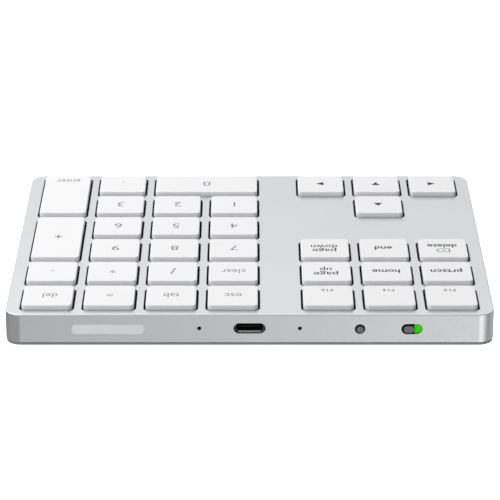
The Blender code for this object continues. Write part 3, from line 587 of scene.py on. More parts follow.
MATERIALS = {
    "housing_aluminium": anodised_aluminium(),
    "keycap_plastic": keycap_plastic(),
    # The cover's dark grey is partly its own plastic and partly painted shade, standing in for the dark band
    # of shadow under the housing's bottom edge
    "cover_plastic": moulded("cover_plastic", (0.24, 0.24, 0.245), 0.55),
    "foot_rubber": rubber("foot_rubber", (0.045, 0.045, 0.045)),
    "window_plastic": moulded("window_plastic", (0.79, 0.81, 0.81), 0.48, depth=0.00001),
    "control_plastic": moulded("control_plastic", (0.16, 0.16, 0.165), 0.45, grain=0.0002, depth=0.00001),
    "marker_plastic": marker_paint(),
    "plate_steel": drawn_steel("plate_steel", (0.45, 0.45, 0.46), 0.38, (1, 30, 1)),
    "wire_steel": drawn_steel("wire_steel", (0.62, 0.62, 0.63), 0.25, (5, 5, 5)),
    "port_steel": drawn_steel("port_steel", (0.93, 0.93, 0.94), 0.20, (1, 20, 1)),
    "screw_steel": drawn_steel("screw_steel", (0.20, 0.20, 0.21), 0.35, (1, 1, 20)),
    "contact_plastic": moulded("contact_plastic", (0.004, 0.004, 0.004), 0.45, specular=0.1),
    "lens_plastic": smoked_lens(),
    "dome_silicone": rubber("dome_silicone", (0.012, 0.012, 0.012), 0.1),
    "circuit_film": circuit_film(),
    "switch_plastic": moulded("switch_plastic", (0.05, 0.05, 0.055), 0.45),
    "board_laminate": circuit_board(),
    "battery_foil": battery_foil(),
}
PALE_INK = legend_ink("legend_ink_pale", (0.16, 0.16, 0.165))
DARK_INK = legend_ink("legend_ink_dark", (0.012, 0.012, 0.0125))
SCISSOR_PLASTIC = moulded("scissor_plastic", (0.03, 0.03, 0.03), 0.5, grain=0.0003)
GOLD = gold_plate()
SLOTS = {row["node"]: row["material_slot"] for row in frame["record"]["subparts"]}
KEYS = sorted(name for name in frame["nodes"] if name.startswith("key_") and name != "key_support_plate")
SCREWS = sorted(name for name in frame["nodes"] if name.startswith("cover_screw_"))
FEET = ("front_foot_strip", "rear_foot_strip")
BARS = ("stabiliser_key_0", "stabiliser_key_enter", "stabiliser_key_plus")


def finish_cad_nodes():
    """The CAD solids that stay get their slot's material."""
    for name, obj in frame["nodes"].items():
        obj.data.materials.clear()
        obj.data.materials.append(MATERIALS[SLOTS[name]])
        obj.data.shade_smooth()
        obj.data.set_sharp_from_angle(angle=CAD_SHARP)


# ---------------------------------------------------------------- keys

def short(name):
    """A key's name without its prefix."""
    return name[len("key_"):]


def is_wide(size):
    return max(size.x, size.y) > PITCH


def bar_side(name):
    """A wide key's stabiliser: the place of its long section, the way it runs and the way of its arms."""
    _, high, centre, size = box_of(f"stabiliser_{name}")
    if size.x > size.y:
        return Vector((centre.x, high.y - BAR_RADIUS, high.z)), Vector((1, 0, 0)), Vector((0, 1, 0))
    return Vector((high.x - BAR_RADIUS, centre.y, high.z)), Vector((0, 1, 0)), Vector((1, 0, 0))


def cap_stations(skirt, top):
    """Up the inside wall, round the lip, up the flared outside and over the rounded top edge."""
    ceiling = top - CAP_WALL
    stations = [(ceiling, CAP_WALL + CAP_FLARE), (skirt + CAP_LIP, CAP_WALL),
                (skirt, CAP_WALL - CAP_LIP), (skirt, CAP_LIP)]
    for height, inset in softened(skirt + CAP_LIP, top, 0.0, CAP_EDGE):
        stations.append((height, inset + CAP_FLARE * (height - skirt) / (top - skirt)))
    return stations


def hooks(name, bottom, top):
    """Pairs of small walls that hold the stabiliser bar under a wide cap."""
    place, along, arm = bar_side(name)
    half = along * HOOK_HALF_LENGTH + arm * HOOK_HALF_THICKNESS
    parts = []
    for spot in (-HOOK_SPOT, HOOK_SPOT):
        for side in (-HOOK_OFFSET, HOOK_OFFSET):
            middle = place + along * spot + arm * side
            parts.append(post(middle.x, middle.y, half.x, half.y, bottom, top))
    return parts


def build_cap(name):
    """A keycap: a thin flared shell, with a plunger over the dome and clips for the scissor frame."""
    low, high, centre, size = box_of(name)
    ceiling = high.z - CAP_WALL
    stations = cap_stations(high.z - CAP_HEIGHT, high.z)
    cap = as_object(f"keycap_{short(name)}", [tower(size.x, size.y, CAP_CORNER, stations, centre, COARSE)])
    end = ceiling - PLUNGER_DROP
    inside = [turned([(PLUNGER_RADIUS - PLUNGER_CHAMFER, end), (PLUNGER_RADIUS, end + PLUNGER_CHAMFER_DROP),
                      (PLUNGER_RADIUS, ceiling + SINK)], centre)]
    for side_x in (-1, 1):
        for side_y in (-1, 1):
            x = centre.x + side_x * (size.x / 2 - CLIP_IN_X)
            y = centre.y + side_y * (size.y / 2 - CLIP_IN_Y)
            inside.append(post(x, y, CLIP_HALF_X, CLIP_HALF_Y, ceiling - CLIP_DROP, ceiling + SINK))
    if is_wide(size):
        inside += hooks(name, low.z + HOOK_GAP, ceiling + SINK)
    join(cap, inside)
    finish_piece(cap, "keycap_plastic", name, [name])


def build_sheet():
    """The silicone sheet that the domes stand on."""
    low, _, _, size = box_of("dome_sheet")
    bottom, top = low.z - THROUGH, SHEET_TOP + THROUGH
    plate = tower(size.x, size.y, SHEET_CORNER, [(low.z, 0.0), (SHEET_TOP, 0.0)], steps=COARSE, hold=0.0)
    sheet = as_object("dome_base_sheet", [plate])
    holes = [disc(DOME_HOLE, bottom, top, box_of(name)[2]) for name in KEYS]
    holes += [disc(PIN_HOLE, bottom, top, spot, 16) for spot in pin_spots()]
    for node in BARS:
        bar_low, bar_high, _, bar_size = box_of(node)
        if bar_size.x > bar_size.y:
            y = bar_low.y + BAR_RADIUS
            for x in (bar_low.x + BAR_END, bar_high.x - BAR_END):
                holes.append(post(x, y, SLOT_BY_BAR_X, SLOT_BY_BAR_Y, bottom, top))
        else:
            x = bar_low.x + BAR_RADIUS
            for y in (bar_low.y + BAR_END, bar_high.y - BAR_END):
                holes.append(post(x, y, SLOT_BY_BAR_Y, SLOT_BY_BAR_X, bottom, top))
    cut(sheet, holes)
    finish_piece(sheet, "dome_silicone", replaced=["dome_sheet"])


def build_dome(name, top):
    """A collapsible silicone dome: a foot ring in the sheet, a thin flared wall and a flat button."""
    centre = box_of(name)[2]
    profile = [(radius, top + height) for radius, height in DOME_CEILING]
    profile += [(radius, SHEET_TOP + height) for radius, height in DOME_FOOT]
    profile += [(radius, top + height) for radius, height in DOME_BUTTON]
    dome = as_object(f"dome_{short(name)}", [turned(profile, centre)])
    finish_piece(dome, "dome_silicone", "housing")
    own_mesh(dome)


def scissor_frame(half_width, half_depth, bar, tilt):
    """A flat rectangular frame of rounded bars, tilted about its middle."""
    rings = []
    for inset, side in ((0.0, -1), (0.0, 1), (bar, 1), (bar, -1)):
        rings.append(ring(2 * (half_width - inset), 2 * (half_depth - inset), SCISSOR_CORNER - inset * 0.7,
                          side * SCISSOR_THICKNESS / 2, 3))
    return moved(loft(rings, tube=True), Matrix.Rotation(tilt, 4, "X"))


def build_scissor(name):
    """Two frames that cross under a cap, built at their resting tilt; in the real keypad they fold flat as
    it goes down.
    """
    _, _, centre, size = box_of(name)
    wide = is_wide(size)
    half_depth = NARROW_HALF_DEPTH if wide else SCISSOR_HALF_DEPTH
    bar = NARROW_BAR if wide else SCISSOR_BAR
    tilt = math.asin(SCISSOR_RISE / half_depth)
    parts = [scissor_frame(SCISSOR_HALF_WIDTH, half_depth, bar, tilt),
             scissor_frame(SCISSOR_HALF_WIDTH - SCISSOR_NEST - bar, half_depth, bar, -tilt)]
    reach = SCISSOR_HALF_WIDTH - bar / 2
    for start in (-reach, reach - bar):
        pin = disc(SCISSOR_PIN, start, start + bar, sides=10)
        parts.append(moved(pin, Matrix.Rotation(math.pi / 2, 4, "Y")))
    turn = Matrix.Rotation(math.pi / 2, 4, "Z") if size.y > size.x + PITCH / 2 else Matrix.Identity(4)
    place = Matrix.Translation((centre.x, centre.y, SHEET_TOP + SCISSOR_MIDDLE)) @ turn
    scissor = as_object(f"scissor_{short(name)}", [moved(part, place) for part in parts])
    finish_piece(scissor, "switch_plastic", "housing", material=SCISSOR_PLASTIC)
    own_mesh(scissor)


# ---------------------------------------------------------------- legends

def text_mesh(words, weight):
    """Flat lettering of the built-in font at size 1, as a mesh one unit thick."""
    curve = bpy.data.curves.new("words", "FONT")
    curve.body = words
    curve.align_x = "CENTER"
    curve.offset = weight
    curve.extrude = 1.0 / 2
    curve.resolution_u = FONT_STEPS
    holder = bpy.data.objects.new("words", curve)
    bpy.context.scene.collection.objects.link(holder)
    mesh = evaluated_mesh(holder)
    bpy.data.objects.remove(holder, do_unlink=True)
    bpy.data.curves.remove(curve)
    bm = bmesh.new()
    bm.from_mesh(mesh)
    bpy.data.meshes.remove(mesh)
    return bm


def extent(bm):
    low = Vector(tuple(min(v.co[i] for v in bm.verts) for i in range(3)))
    high = Vector(tuple(max(v.co[i] for v in bm.verts) for i in range(3)))
    return low, high


def measured(words, weight):
    bm = text_mesh(words, weight)
    low, high = extent(bm)
    bm.free()
    return high - low


def placed_text(words, weight, width, scale_y, baseline, centre, surface):
    """Lettering of a given width, whose baseline is at a given height on the key."""
    bm = text_mesh(words, weight)
    low, high = extent(bm)
    scale = Matrix.Diagonal((width / (high.x - low.x), scale_y, INK_RISE + INK_DEPTH, 1.0))
    shift = Matrix.Translation((centre.x, centre.y + baseline, surface + (INK_RISE - INK_DEPTH) / 2))
    return moved(moved(bm, Matrix.Translation((-mid(low.x, high.x), 0.0, 0.0))), shift @ scale)


def prism(outline, centre, surface):
    """A flat printed shape, from an anticlockwise outline in millimetres about the key's centre."""
    rings = []
    for height in (surface - INK_DEPTH, surface + INK_RISE):
        rings.append([(centre.x + x * MM, centre.y + y * MM, height) for x, y in outline])
    return loft(rings)


# Words: (text, width, centre of the small letters above the key's middle), in millimetres
WORDS_PALE = {
    "key_esc": (("esc", 5.3, -0.5),),
    "key_tab": (("tab", 4.9, -0.5),),
    "key_del": (("del", 4.6, -0.5),),
    "key_clear": (("clear", 7.6, -0.5),),
    "key_enter": (("enter", 8.1, -12.8),),
}
WORDS_DARK = {
    "key_prtscn": (("prtscn", 10.0, -0.5),),
    "key_home": (("home", 8.7, -0.5),),
    "key_end": (("end", 5.6, -0.5),),
    "key_page_up": (("page", 7.7, 1.6), ("up", 3.7, -1.8)),
    "key_page_down": (("page", 7.7, 1.6), ("down", 8.6, -1.8)),
    "key_delete": (("delete", 9.55, -2.3),),
}
DIGITS = {f"key_{digit}": str(digit) for digit in range(10)}
# Signs: (text, width, height, centre above the key's middle), in millimetres
SIGNS = {
    "key_slash": ("/", 1.7, 4.3, 0.0),
    "key_asterisk": ("*", 1.9, 2.4, 0.5),
    "key_minus": ("-", 1.2, 0.32, -0.4),
    "key_plus": ("+", 2.4, 3.0, -0.1),
    "key_equals": ("=", 2.0, 1.1, 0.0),
    "key_dot": (".", 0.55, 0.55, -1.5),
}
FUNCTIONS = {"key_f13": "F13", "key_f14": "F14", "key_f15": "F15"}
ARROWS = {"key_left": 180, "key_right": 0, "key_up": 90, "key_down": 270}
ARROW_OUTLINE, ARROW_DROP = ((1.3, 0.0), (-1.2, 1.45), (-1.2, -1.45)), 0.25
# The delete sign: an outlined tag and the cross in it, in millimetres
TAG_TIP, TAG_SHOULDER, TAG_HALF, TAG_LINE, TAG_Y = 2.3, 1.1, 1.4, 0.28, 1.85
CROSS_HALF, CROSS_HALF_LINE, CROSS_X = 0.62, 0.09, -0.4
DIGIT_WIDTH, DIGIT_HEIGHT = 2.45, 3.75
PALE_X_HEIGHT, DARK_X_HEIGHT = 2.1, 1.9
FUNCTION_WIDTH, FUNCTION_HEIGHT, FUNCTION_FROM_FRONT = 3.5, 1.75, 3.8
# How far the print is off the middle of its key, sideways and rearward, in millimetres
CURSOR_SHIFT = (0.18, 0.16)
NUMERIC_SHIFT = (-0.08, 0.0)
DEL_SHIFT = (-0.66, 0.0)
# How much heavier than the plain font the lettering is, for a letter of size 1
THIN, EVEN, BOLD = -0.006, 0.004, 0.015
FONT_STEPS = 5


def word_parts(lines, x_height, weight, centre, surface):
    letter = measured("x", weight)
    parts = []
    for words, width, middle in lines:
        scale_y = x_height * MM / letter.y
        baseline = (middle - x_height / 2) * MM
        parts.append(placed_text(words, weight, width * MM, scale_y, baseline, centre, surface))
    return parts


def digit_parts(words, centre, surface):
    full, own = measured("0", THIN), measured(words, THIN)
    width, height = DIGIT_WIDTH * MM * own.x / full.x, DIGIT_HEIGHT * MM
    return [placed_text(words, THIN, width, height / full.y, -height / 2, centre, surface)]


def sign_parts(sign, centre, surface):
    words, width, height, middle = sign
    bm = text_mesh(words, EVEN)
    low, high = extent(bm)
    bm.free()
    scale_y = height * MM / (high.y - low.y)
    baseline = middle * MM - mid(low.y, high.y) * scale_y
    return [placed_text(words, EVEN, width * MM, scale_y, baseline, centre, surface)]


def function_parts(words, low, centre, surface):
    capital = measured("F", BOLD)
    baseline = low.y + (FUNCTION_FROM_FRONT - FUNCTION_HEIGHT / 2) * MM - centre.y
    return [placed_text(words, BOLD, FUNCTION_WIDTH * MM, FUNCTION_HEIGHT * MM / capital.y, baseline,
                        centre, surface)]


def spun(points, angle):
    """An outline turned about its own middle."""
    across, along = math.cos(angle), math.sin(angle)
    return [(x * across - y * along, x * along + y * across) for x, y in points]


def arrow_parts(heading, centre, surface):
    """A filled triangle that points along the key's arrow."""
    corners = spun(ARROW_OUTLINE, math.radians(heading))
    return [prism([(x, y - ARROW_DROP) for x, y in corners], centre, surface)]


def tag_outline(inset):
    """The tag's outline, moved inwards by a share of its line."""
    line = TAG_LINE * inset
    tip, shoulder = TAG_TIP - 1.35 * line, TAG_SHOULDER - 0.45 * line
    back, half = -TAG_TIP + line, TAG_HALF - line
    return [(tip, 0.0), (shoulder, half), (back, half), (back, -half), (shoulder, -half)]


def delete_sign(centre, surface):
    """An outlined tag that points right, with a cross inside."""
    rings = []
    for inset, height in ((0, -INK_DEPTH), (0, INK_RISE), (1, INK_RISE), (1, -INK_DEPTH)):
        rings.append([(centre.x + x * MM, centre.y + (y + TAG_Y) * MM, surface + height)
                      for x, y in tag_outline(inset)])
    parts = [loft(rings, tube=True)]
    bar = ((CROSS_HALF, CROSS_HALF_LINE), (-CROSS_HALF, CROSS_HALF_LINE),
           (-CROSS_HALF, -CROSS_HALF_LINE), (CROSS_HALF, -CROSS_HALF_LINE))
    for slope in (-1, 1):
        corners = [(x + CROSS_X, y + TAG_Y) for x, y in spun(bar, slope * math.pi / 4)]
        parts.append(prism(corners, centre, surface + slope * INK_RISE * 0.1))
    return parts


def build_legend(name):
    low, high, centre, _ = box_of(name)
    shift = CURSOR_SHIFT if centre.x < 0.0 else NUMERIC_SHIFT
    if name == "key_del":
        shift = DEL_SHIFT
    centre += Vector((*shift, 0.0)) * MM
    ink = PALE_INK
    if name in WORDS_PALE:
        parts = word_parts(WORDS_PALE[name], PALE_X_HEIGHT, THIN, centre, high.z)
    elif name in WORDS_DARK:
        weight = BOLD if len(WORDS_DARK[name]) == 1 else EVEN
        parts, ink = word_parts(WORDS_DARK[name], DARK_X_HEIGHT, weight, centre, high.z), DARK_INK
    elif name in DIGITS:
        parts = digit_parts(DIGITS[name], centre, high.z)
    elif name in SIGNS:
        parts = sign_parts(SIGNS[name], centre, high.z)
    elif name in FUNCTIONS:
        parts = function_parts(FUNCTIONS[name], low, centre, high.z)
    else:
        parts, ink = arrow_parts(ARROWS[name], centre, high.z), DARK_INK
    if name == "key_delete":
        parts += delete_sign(centre, high.z)
    legend = as_object(f"legend_{short(name)}", parts)
    finish_piece(legend, "legend_ink", name, material=ink)


# ---------------------------------------------------------------- housing

def key_gaps():
    """The wells' outlines: each key's centre and the size of its opening."""
    gaps = []
    for name in KEYS:
        _, _, centre, size = box_of(name)
        gaps.append((centre, size.x + 2 * WELL_GAP, size.y + 2 * WELL_GAP))
    return gaps


def pin_spots():
    """Where the deck's locating pins stand: between the blocks, and where four keys meet."""
    place = {name: box_of(name)[2] for name in KEYS}
    between = mid(place["key_page_up"].x, place["key_clear"].x)
    beside = mid(place["key_9"].x, place["key_minus"].x)
    empty_row = mid(place["key_up"].y, place["key_end"].y)
    return [
        (between, place["key_left"].y),
        (between, place["key_f13"].y),
        (place["key_left"].x, empty_row),
        (mid(place["key_down"].x, place["key_right"].x), empty_row),
        (beside, mid(place["key_0"].y, place["key_1"].y)),
        (beside, mid(place["key_minus"].y, place["key_del"].y)),
    ]


def opening_stations(inside, outside, edge):
    """Through a wall from its inside to its outside, with a chamfer at the mouth."""
    return [(inside - THROUGH, 0.0), (outside - edge, 0.0), (outside + THROUGH, -THROUGH - edge)]


def pill_opening(x, z, width, height, radius, inside, outside, edge=PORT_EDGE):
    """A cutter through the rear wall."""
    return rearward(tower(width, height, radius, opening_stations(inside, outside, edge), hold=0.0), x, z)


def rear_wall():
    """Where the rear wall's outer face is, along Y."""
    return box_of("top_housing")[1].y


def locating_pin(spot, underside):
    return turned([(PIN_RADIUS, PIN_TIP_Z), (PIN_RADIUS, PIN_COLLAR_Z), (PIN_COLLAR, PIN_COLLAR_Z),
                   (PIN_COLLAR, underside + SINK)], spot, 20)


def screw_boss(spot, outside):
    """A block that reaches from round a cover screw into the nearest long wall."""
    wall = math.copysign(outside - SINK * 4, spot.y)
    near = spot.y - math.copysign(BOSS_HALF, spot.y)
    return block((spot.x - BOSS_HALF, min(near, wall), BOSS_BOTTOM_Z),
                 (spot.x + BOSS_HALF, max(near, wall), BOSS_TOP_Z), BOSS_EDGE)


def build_housing():
    low, high, _, size = box_of("top_housing")
    walls = softened(low.z, high.z, BOTTOM_EDGE, TOP_EDGE, 5)
    housing = as_object("housing_shell", [tower(size.x, size.y, CORNER, walls)])
    underside = high.z - DECK_THICKNESS
    inside_rear = high.y - REAR_WALL
    depth = inside_rear - (low.y + SIDE_WALL)
    cavity = [(low.z - THROUGH, 0.0), (underside, 0.0)]
    cut(housing, [tower(size.x - 2 * SIDE_WALL, depth, CAVITY_CORNER, cavity,
                        (0.0, inside_rear - depth / 2), COARSE, 0.0)])
    pins = [locating_pin(spot, underside) for spot in pin_spots()]
    spots = [box_of(node)[2] for node in SCREWS]
    join(housing, pins + [screw_boss(spot, high.y) for spot in spots])
    holes = [disc(SCREW_HOLE, BOSS_BOTTOM_Z - THROUGH, SCREW_HOLE_TOP_Z, spot, 20) for spot in spots]
    stations = opening_stations(underside, high.z, WELL_CHAMFER)
    wells = [tower(width, length, WELL_CORNER, stations, spot, COARSE, 0.0)
             for spot, width, length in key_gaps()]
    cut(housing, wells + holes)
    pocket, openings = port_openings(inside_rear, high.y)
    cut(housing, [pocket])
    cut(housing, openings)
    finish_piece(housing, "housing_aluminium", replaced=["top_housing"])


def port_openings(inside, outside):
    """The slider's pocket, and the openings for the window, socket, slider, button and lenses."""
    window = box_of("antenna_window")[2]
    shell = box_of("usb_c_shell")[2]
    button = box_of("pairing_button")[2]
    control_z = button.z + CONTROL_DROP
    openings = [
        pill_opening(window.x, window.z, WINDOW_WIDTH, WINDOW_HEIGHT, WINDOW_RADIUS, inside, outside, 0.0),
        pill_opening(shell.x, shell.z, PORT_WIDTH, PORT_HEIGHT, PORT_RADIUS, inside, outside),
        pill_opening(SLOT_X, control_z, SLOT_WIDTH, SLOT_HEIGHT, SLOT_HEIGHT * ROUND_END, inside, outside),
        pill_opening(button.x, control_z, BUTTON_OPENING, BUTTON_OPENING, BUTTON_OPENING_RADIUS, inside,
                     outside),
    ]
    for lens in ("charge_led_lens", "status_led_lens"):
        x = box_of(lens)[2].x
        openings.append(pill_opening(x, shell.z, LED_OPENING, LED_OPENING, LED_OPENING_RADIUS, inside,
                                     outside))
    half = SLOT_WIDTH / 2 + POCKET_MARGIN
    pocket = block((SLOT_X - half, inside - THROUGH, control_z - POCKET_HALF_HEIGHT),
                   (SLOT_X + half, outside - POCKET_WALL, control_z + POCKET_HALF_HEIGHT), 2 * BLOCK_EDGE)
    return pocket, openings


def build_window():
    """A plastic face flush with the wall, on a flange that fits behind it."""
    low, _, centre, _ = box_of("antenna_window")
    wall = rear_wall()
    face = tower(WINDOW_WIDTH - 2 * WINDOW_CLEAR, WINDOW_HEIGHT - 2 * WINDOW_CLEAR, WINDOW_RADIUS,
                 softened(low.y + 2 * SINK, wall - WINDOW_CLEAR / 2, 0.0, WINDOW_EDGE, 3))
    flange = tower(WINDOW_WIDTH + 2 * WINDOW_FLANGE, WINDOW_HEIGHT + 2 * WINDOW_FLANGE,
                   WINDOW_RADIUS + WINDOW_FLANGE,
                   softened(low.y, wall - REAR_WALL - FLANGE_GAP, BLOCK_EDGE, BLOCK_EDGE, 2))
    window = as_object("antenna_window_fine", [rearward(face, centre.x, centre.z)])
    join(window, [rearward(flange, centre.x, centre.z)])
    finish_piece(window, "window_plastic", replaced=["antenna_window"])


def build_usb_shell():
    """A flattened tube whose lip is chamfered, and thins at its sides."""
    low, high, centre, size = box_of("usb_c_shell")
    rings = []
    for side_inset, inset, height in ((0.0, 0.0, low.y), (0.0, 0.0, high.y),
                                      (SOCKET_LIP, SOCKET_LIP, high.y),
                                      (SOCKET_SIDE_WALL, SOCKET_WALL, high.y - SOCKET_CHAMFER),
                                      (SOCKET_SIDE_WALL, SOCKET_WALL, low.y)):
        width, depth = size.x - 2 * side_inset, size.z - 2 * inset
        rings.append(ring(width, depth, depth * ROUND_END, height, FINE))
    shell = as_object("usb_c_shell_fine", [rearward(loft(rings, tube=True), centre.x, centre.z)])
    finish_piece(shell, "port_steel", replaced=["usb_c_shell"])


def build_usb_tongue():
    """The plastic root and blade, with a row of gold pads on each side of the blade."""
    low, high, centre, size = box_of("usb_c_tongue")
    root = tower(size.x, size.z, size.z * 0.49, [(low.y, 0.0), (low.y + TONGUE_ROOT, 0.0)], hold=0.0)
    tongue = as_object("usb_c_tongue_fine", [rearward(root, centre.x, centre.z)])
    blade = tower(BLADE_WIDTH, BLADE_THICKNESS, BLADE_CORNER,
                  softened(low.y + BLADE_START, high.y, 0.0, BLADE_EDGE, 2), steps=COARSE)
    join(tongue, [rearward(blade, centre.x, centre.z)])
    finish_piece(tongue, "contact_plastic", replaced=["usb_c_tongue"])
    contacts = []
    for number in range(CONTACTS):
        x = centre.x + (number - (CONTACTS - 1) / 2) * CONTACT_PITCH
        for z in (centre.z - CONTACT_OFFSET, centre.z + CONTACT_OFFSET):
            contacts.append(block((x - CONTACT_HALF, low.y + CONTACT_BACK, z - CONTACT_HALF_THICKNESS),
                                  (x + CONTACT_HALF, high.y - CONTACT_FRONT, z + CONTACT_HALF_THICKNESS),
                                  BLOCK_EDGE / 2))
    pads = as_object("usb_c_contacts", contacts)
    finish_piece(pads, "contact_plastic", material=GOLD)


def build_lenses():
    """A light pipe with a rounded tip behind each indicator hole, on a square foot."""
    middle_z = box_of("usb_c_shell")[2].z
    tip = rear_wall() - LENS_DEPTH
    for node in ("charge_led_lens", "status_led_lens"):
        low, high, centre, _ = box_of(node)
        foot_rear = high.y - LENS_FOOT
        profile = [(LENS_RADIUS, foot_rear - SINK)]
        profile += [(LENS_RADIUS * share, tip - drop) for share, drop in LENS_TIP]
        lens = as_object(f"{node}_fine", [block(low, (high.x, foot_rear, high.z), BLOCK_EDGE)])
        join(lens, [rearward(turned(profile, sides=24), centre.x, middle_z)])
        finish_piece(lens, "lens_plastic", replaced=[node])


def build_button():
    """A dished cap on a collared stem, and a black seal ring between it and its hole: a real part, whose
    black also stands in as painted shade for the dark gap round the button, widest above it.
    """
    low, high, centre, _ = box_of("pairing_button")
    wall = rear_wall()
    back, front = wall - COLLAR_BACK, wall - COLLAR_FRONT
    place = centre - BUTTON_SHIFT
    profile = [(STEM_RADIUS, low.y), (STEM_RADIUS, back), (COLLAR_RADIUS - COLLAR_CHAMFER, back),
               (COLLAR_RADIUS, back + COLLAR_CHAMFER), (COLLAR_RADIUS, front - COLLAR_CHAMFER),
               (COLLAR_RADIUS - COLLAR_CHAMFER, front), (BUTTON_RADIUS, front)]
    for step in range(6):
        angle = math.pi / 2 * step / 5
        profile.append((BUTTON_RADIUS - BUTTON_EDGE * (1 - math.cos(angle)),
                        high.y - BUTTON_EDGE * (1 - math.sin(angle))))
    profile += [(BUTTON_RADIUS - BUTTON_EDGE - COLLAR_CHAMFER, high.y),
                (BUTTON_RADIUS * 0.6, high.y - BUTTON_DISH * 0.6),
                (BUTTON_RADIUS * 0.2, high.y - BUTTON_DISH)]
    button = as_object("pairing_button_fine", [rearward(turned(profile, sides=48), place.x, place.z)])
    finish_piece(button, "control_plastic", "pairing_button", ["pairing_button"])
    # Painted shade: the black seal fills the gap round the button, which sits low in its hole, so the black
    # is widest above it
    hole = (-BUTTON_SHIFT.x, CONTROL_DROP + BUTTON_SHIFT.z)
    inner = BUTTON_RADIUS + SHADE_SEAL_CLEAR
    rings = [circle(radius, wall - depth, middle, 48)
             for radius, depth, middle in ((SHADE_SEAL_RADIUS, SHADE_SEAL_BACK, hole), (SHADE_SEAL_RADIUS, SHADE_SEAL_FRONT, hole),
                                           (inner, SHADE_SEAL_FRONT, (0.0, 0.0)), (inner, SHADE_SEAL_BACK, (0.0, 0.0)))]
    shade_seal = as_object("pairing_button_shade_seal", [rearward(loft(rings, tube=True), place.x, place.z)])
    finish_piece(shade_seal, "contact_plastic")


def build_slider():
    """The knob, and behind it the black carrier that covers the slot and the green marker."""
    low, high, _, _ = box_of("power_slider")
    middle_z = box_of("pairing_button")[2].z
    plate_front = rear_wall() - CARRIER_DEPTH
    plate_back = plate_front - CARRIER_THICKNESS
    knob_back = high.y - KNOB_THICKNESS
    knob = tower(KNOB_WIDTH, KNOB_HEIGHT, KNOB_RADIUS, softened(knob_back, high.y, 0.0, KNOB_EDGE, 4),
                 hold=SHORT_HOLD)
    slider = as_object("power_slider_fine", [rearward(knob, KNOB_X, middle_z - KNOB_SHIFT)])
    finish_piece(slider, "control_plastic", "power_slider", ["power_slider"])
    carrier = as_object("slider_carrier", [block((low.x, plate_back, low.z), (high.x, plate_front, high.z),
                                                 BLOCK_EDGE)])
    neck = tower(KNOB_WIDTH, KNOB_HEIGHT, KNOB_RADIUS,
                 [(plate_front - SINK, NECK_INSET), (knob_back - SHORT_HOLD, NECK_INSET)], hold=SHORT_HOLD)
    join(carrier, [rearward(neck, KNOB_X, middle_z - KNOB_SHIFT)])
    join(carrier, [block((KNOB_X - TONGUE_HALF_X, low.y, middle_z - TONGUE_HALF_Z),
                         (KNOB_X + TONGUE_HALF_X, plate_back + SINK, middle_z + TONGUE_HALF_Z), BLOCK_EDGE)])
    marker_low, marker_high, _, _ = box_of("power_on_marker")
    join(carrier, [block((marker_high.x + MARKER_GAP, plate_front - SINK, marker_low.z),
                         (high.x - BLOCK_EDGE, marker_high.y, marker_high.z), BLOCK_EDGE)])
    finish_piece(carrier, "contact_plastic", "power_slider")


# ---------------------------------------------------------------- underside

def build_cover():
    """A tray that closes the housing, with screw pads, standoffs for the board and grooves for the feet."""
    low, _, _, size = box_of("bottom_cover")
    housing_low, _, _, housing_size = box_of("top_housing")
    flange_top = housing_low.z - COVER_GAP
    corner = CORNER - (housing_size.x - size.x) / 2
    flange = softened(low.z, flange_top, COVER_EDGE, SEAM_EDGE, 3)
    cover = as_object("cover_fine", [tower(size.x, size.y, corner, flange)])
    panel = [(flange_top - SINK, 0.0), (COVER_TOP_Z, 0.0)]
    join(cover, [tower(size.x - 2 * COVER_RIM, size.y - 2 * COVER_RIM, CAVITY_CORNER - SINK, panel,
                       steps=COARSE, hold=0.0)])
    pads, bores, holes = [], [], []
    for spot in [box_of(node)[2] for node in SCREWS]:
        pads.append(disc(SCREW_PAD, COVER_TOP_Z - SINK, SCREW_PAD_TOP_Z, spot))
        bores.append(turned([(SCREW_BORE + THROUGH + SCREW_BORE_CHAMFER, low.z - THROUGH),
                             (SCREW_BORE, low.z + SCREW_BORE_CHAMFER),
                             (SCREW_BORE, SCREW_BORE_TOP_Z)], spot, 40))
        holes.append(disc(SCREW_HOLE, low.z, COVER_HOLE_TOP_Z, spot, 20))
    board_low, board_high, _, _ = box_of("main_board")
    for x in (board_low.x + STANDOFF_IN_X, board_high.x - STANDOFF_IN_X):
        for y in (board_low.y + STANDOFF_IN_FRONT, board_high.y - STANDOFF_IN_REAR):
            pads.append(disc(STANDOFF, COVER_TOP_Z - SINK, board_low.z - STANDOFF_GAP, (x, y), 24))
    join(cover, pads)
    grooves = []
    for node in FEET:
        _, _, spot, foot = box_of(node)
        width, depth = foot.x + 2 * GROOVE_MARGIN, foot.y + 2 * GROOVE_MARGIN
        grooves.append(tower(width, depth, depth * ROUND_END, [(low.z - THROUGH, 0.0), (GROOVE_TOP_Z, 0.0)],
                             spot, hold=0.0))
    cut(cover, grooves + bores)
    cut(cover, holes)
    finish_piece(cover, "cover_plastic", replaced=["bottom_cover"])


def build_feet():
    for node in FEET:
        low, high, centre, size = box_of(node)
        stations = softened(low.z, high.z, FOOT_EDGE, SEAM_EDGE, 4)
        strip = tower(size.x, size.y, size.y * ROUND_END, stations, centre, hold=0.0)
        foot = as_object(f"{node}_fine", [strip])
        finish_piece(foot, "foot_rubber", replaced=[node])


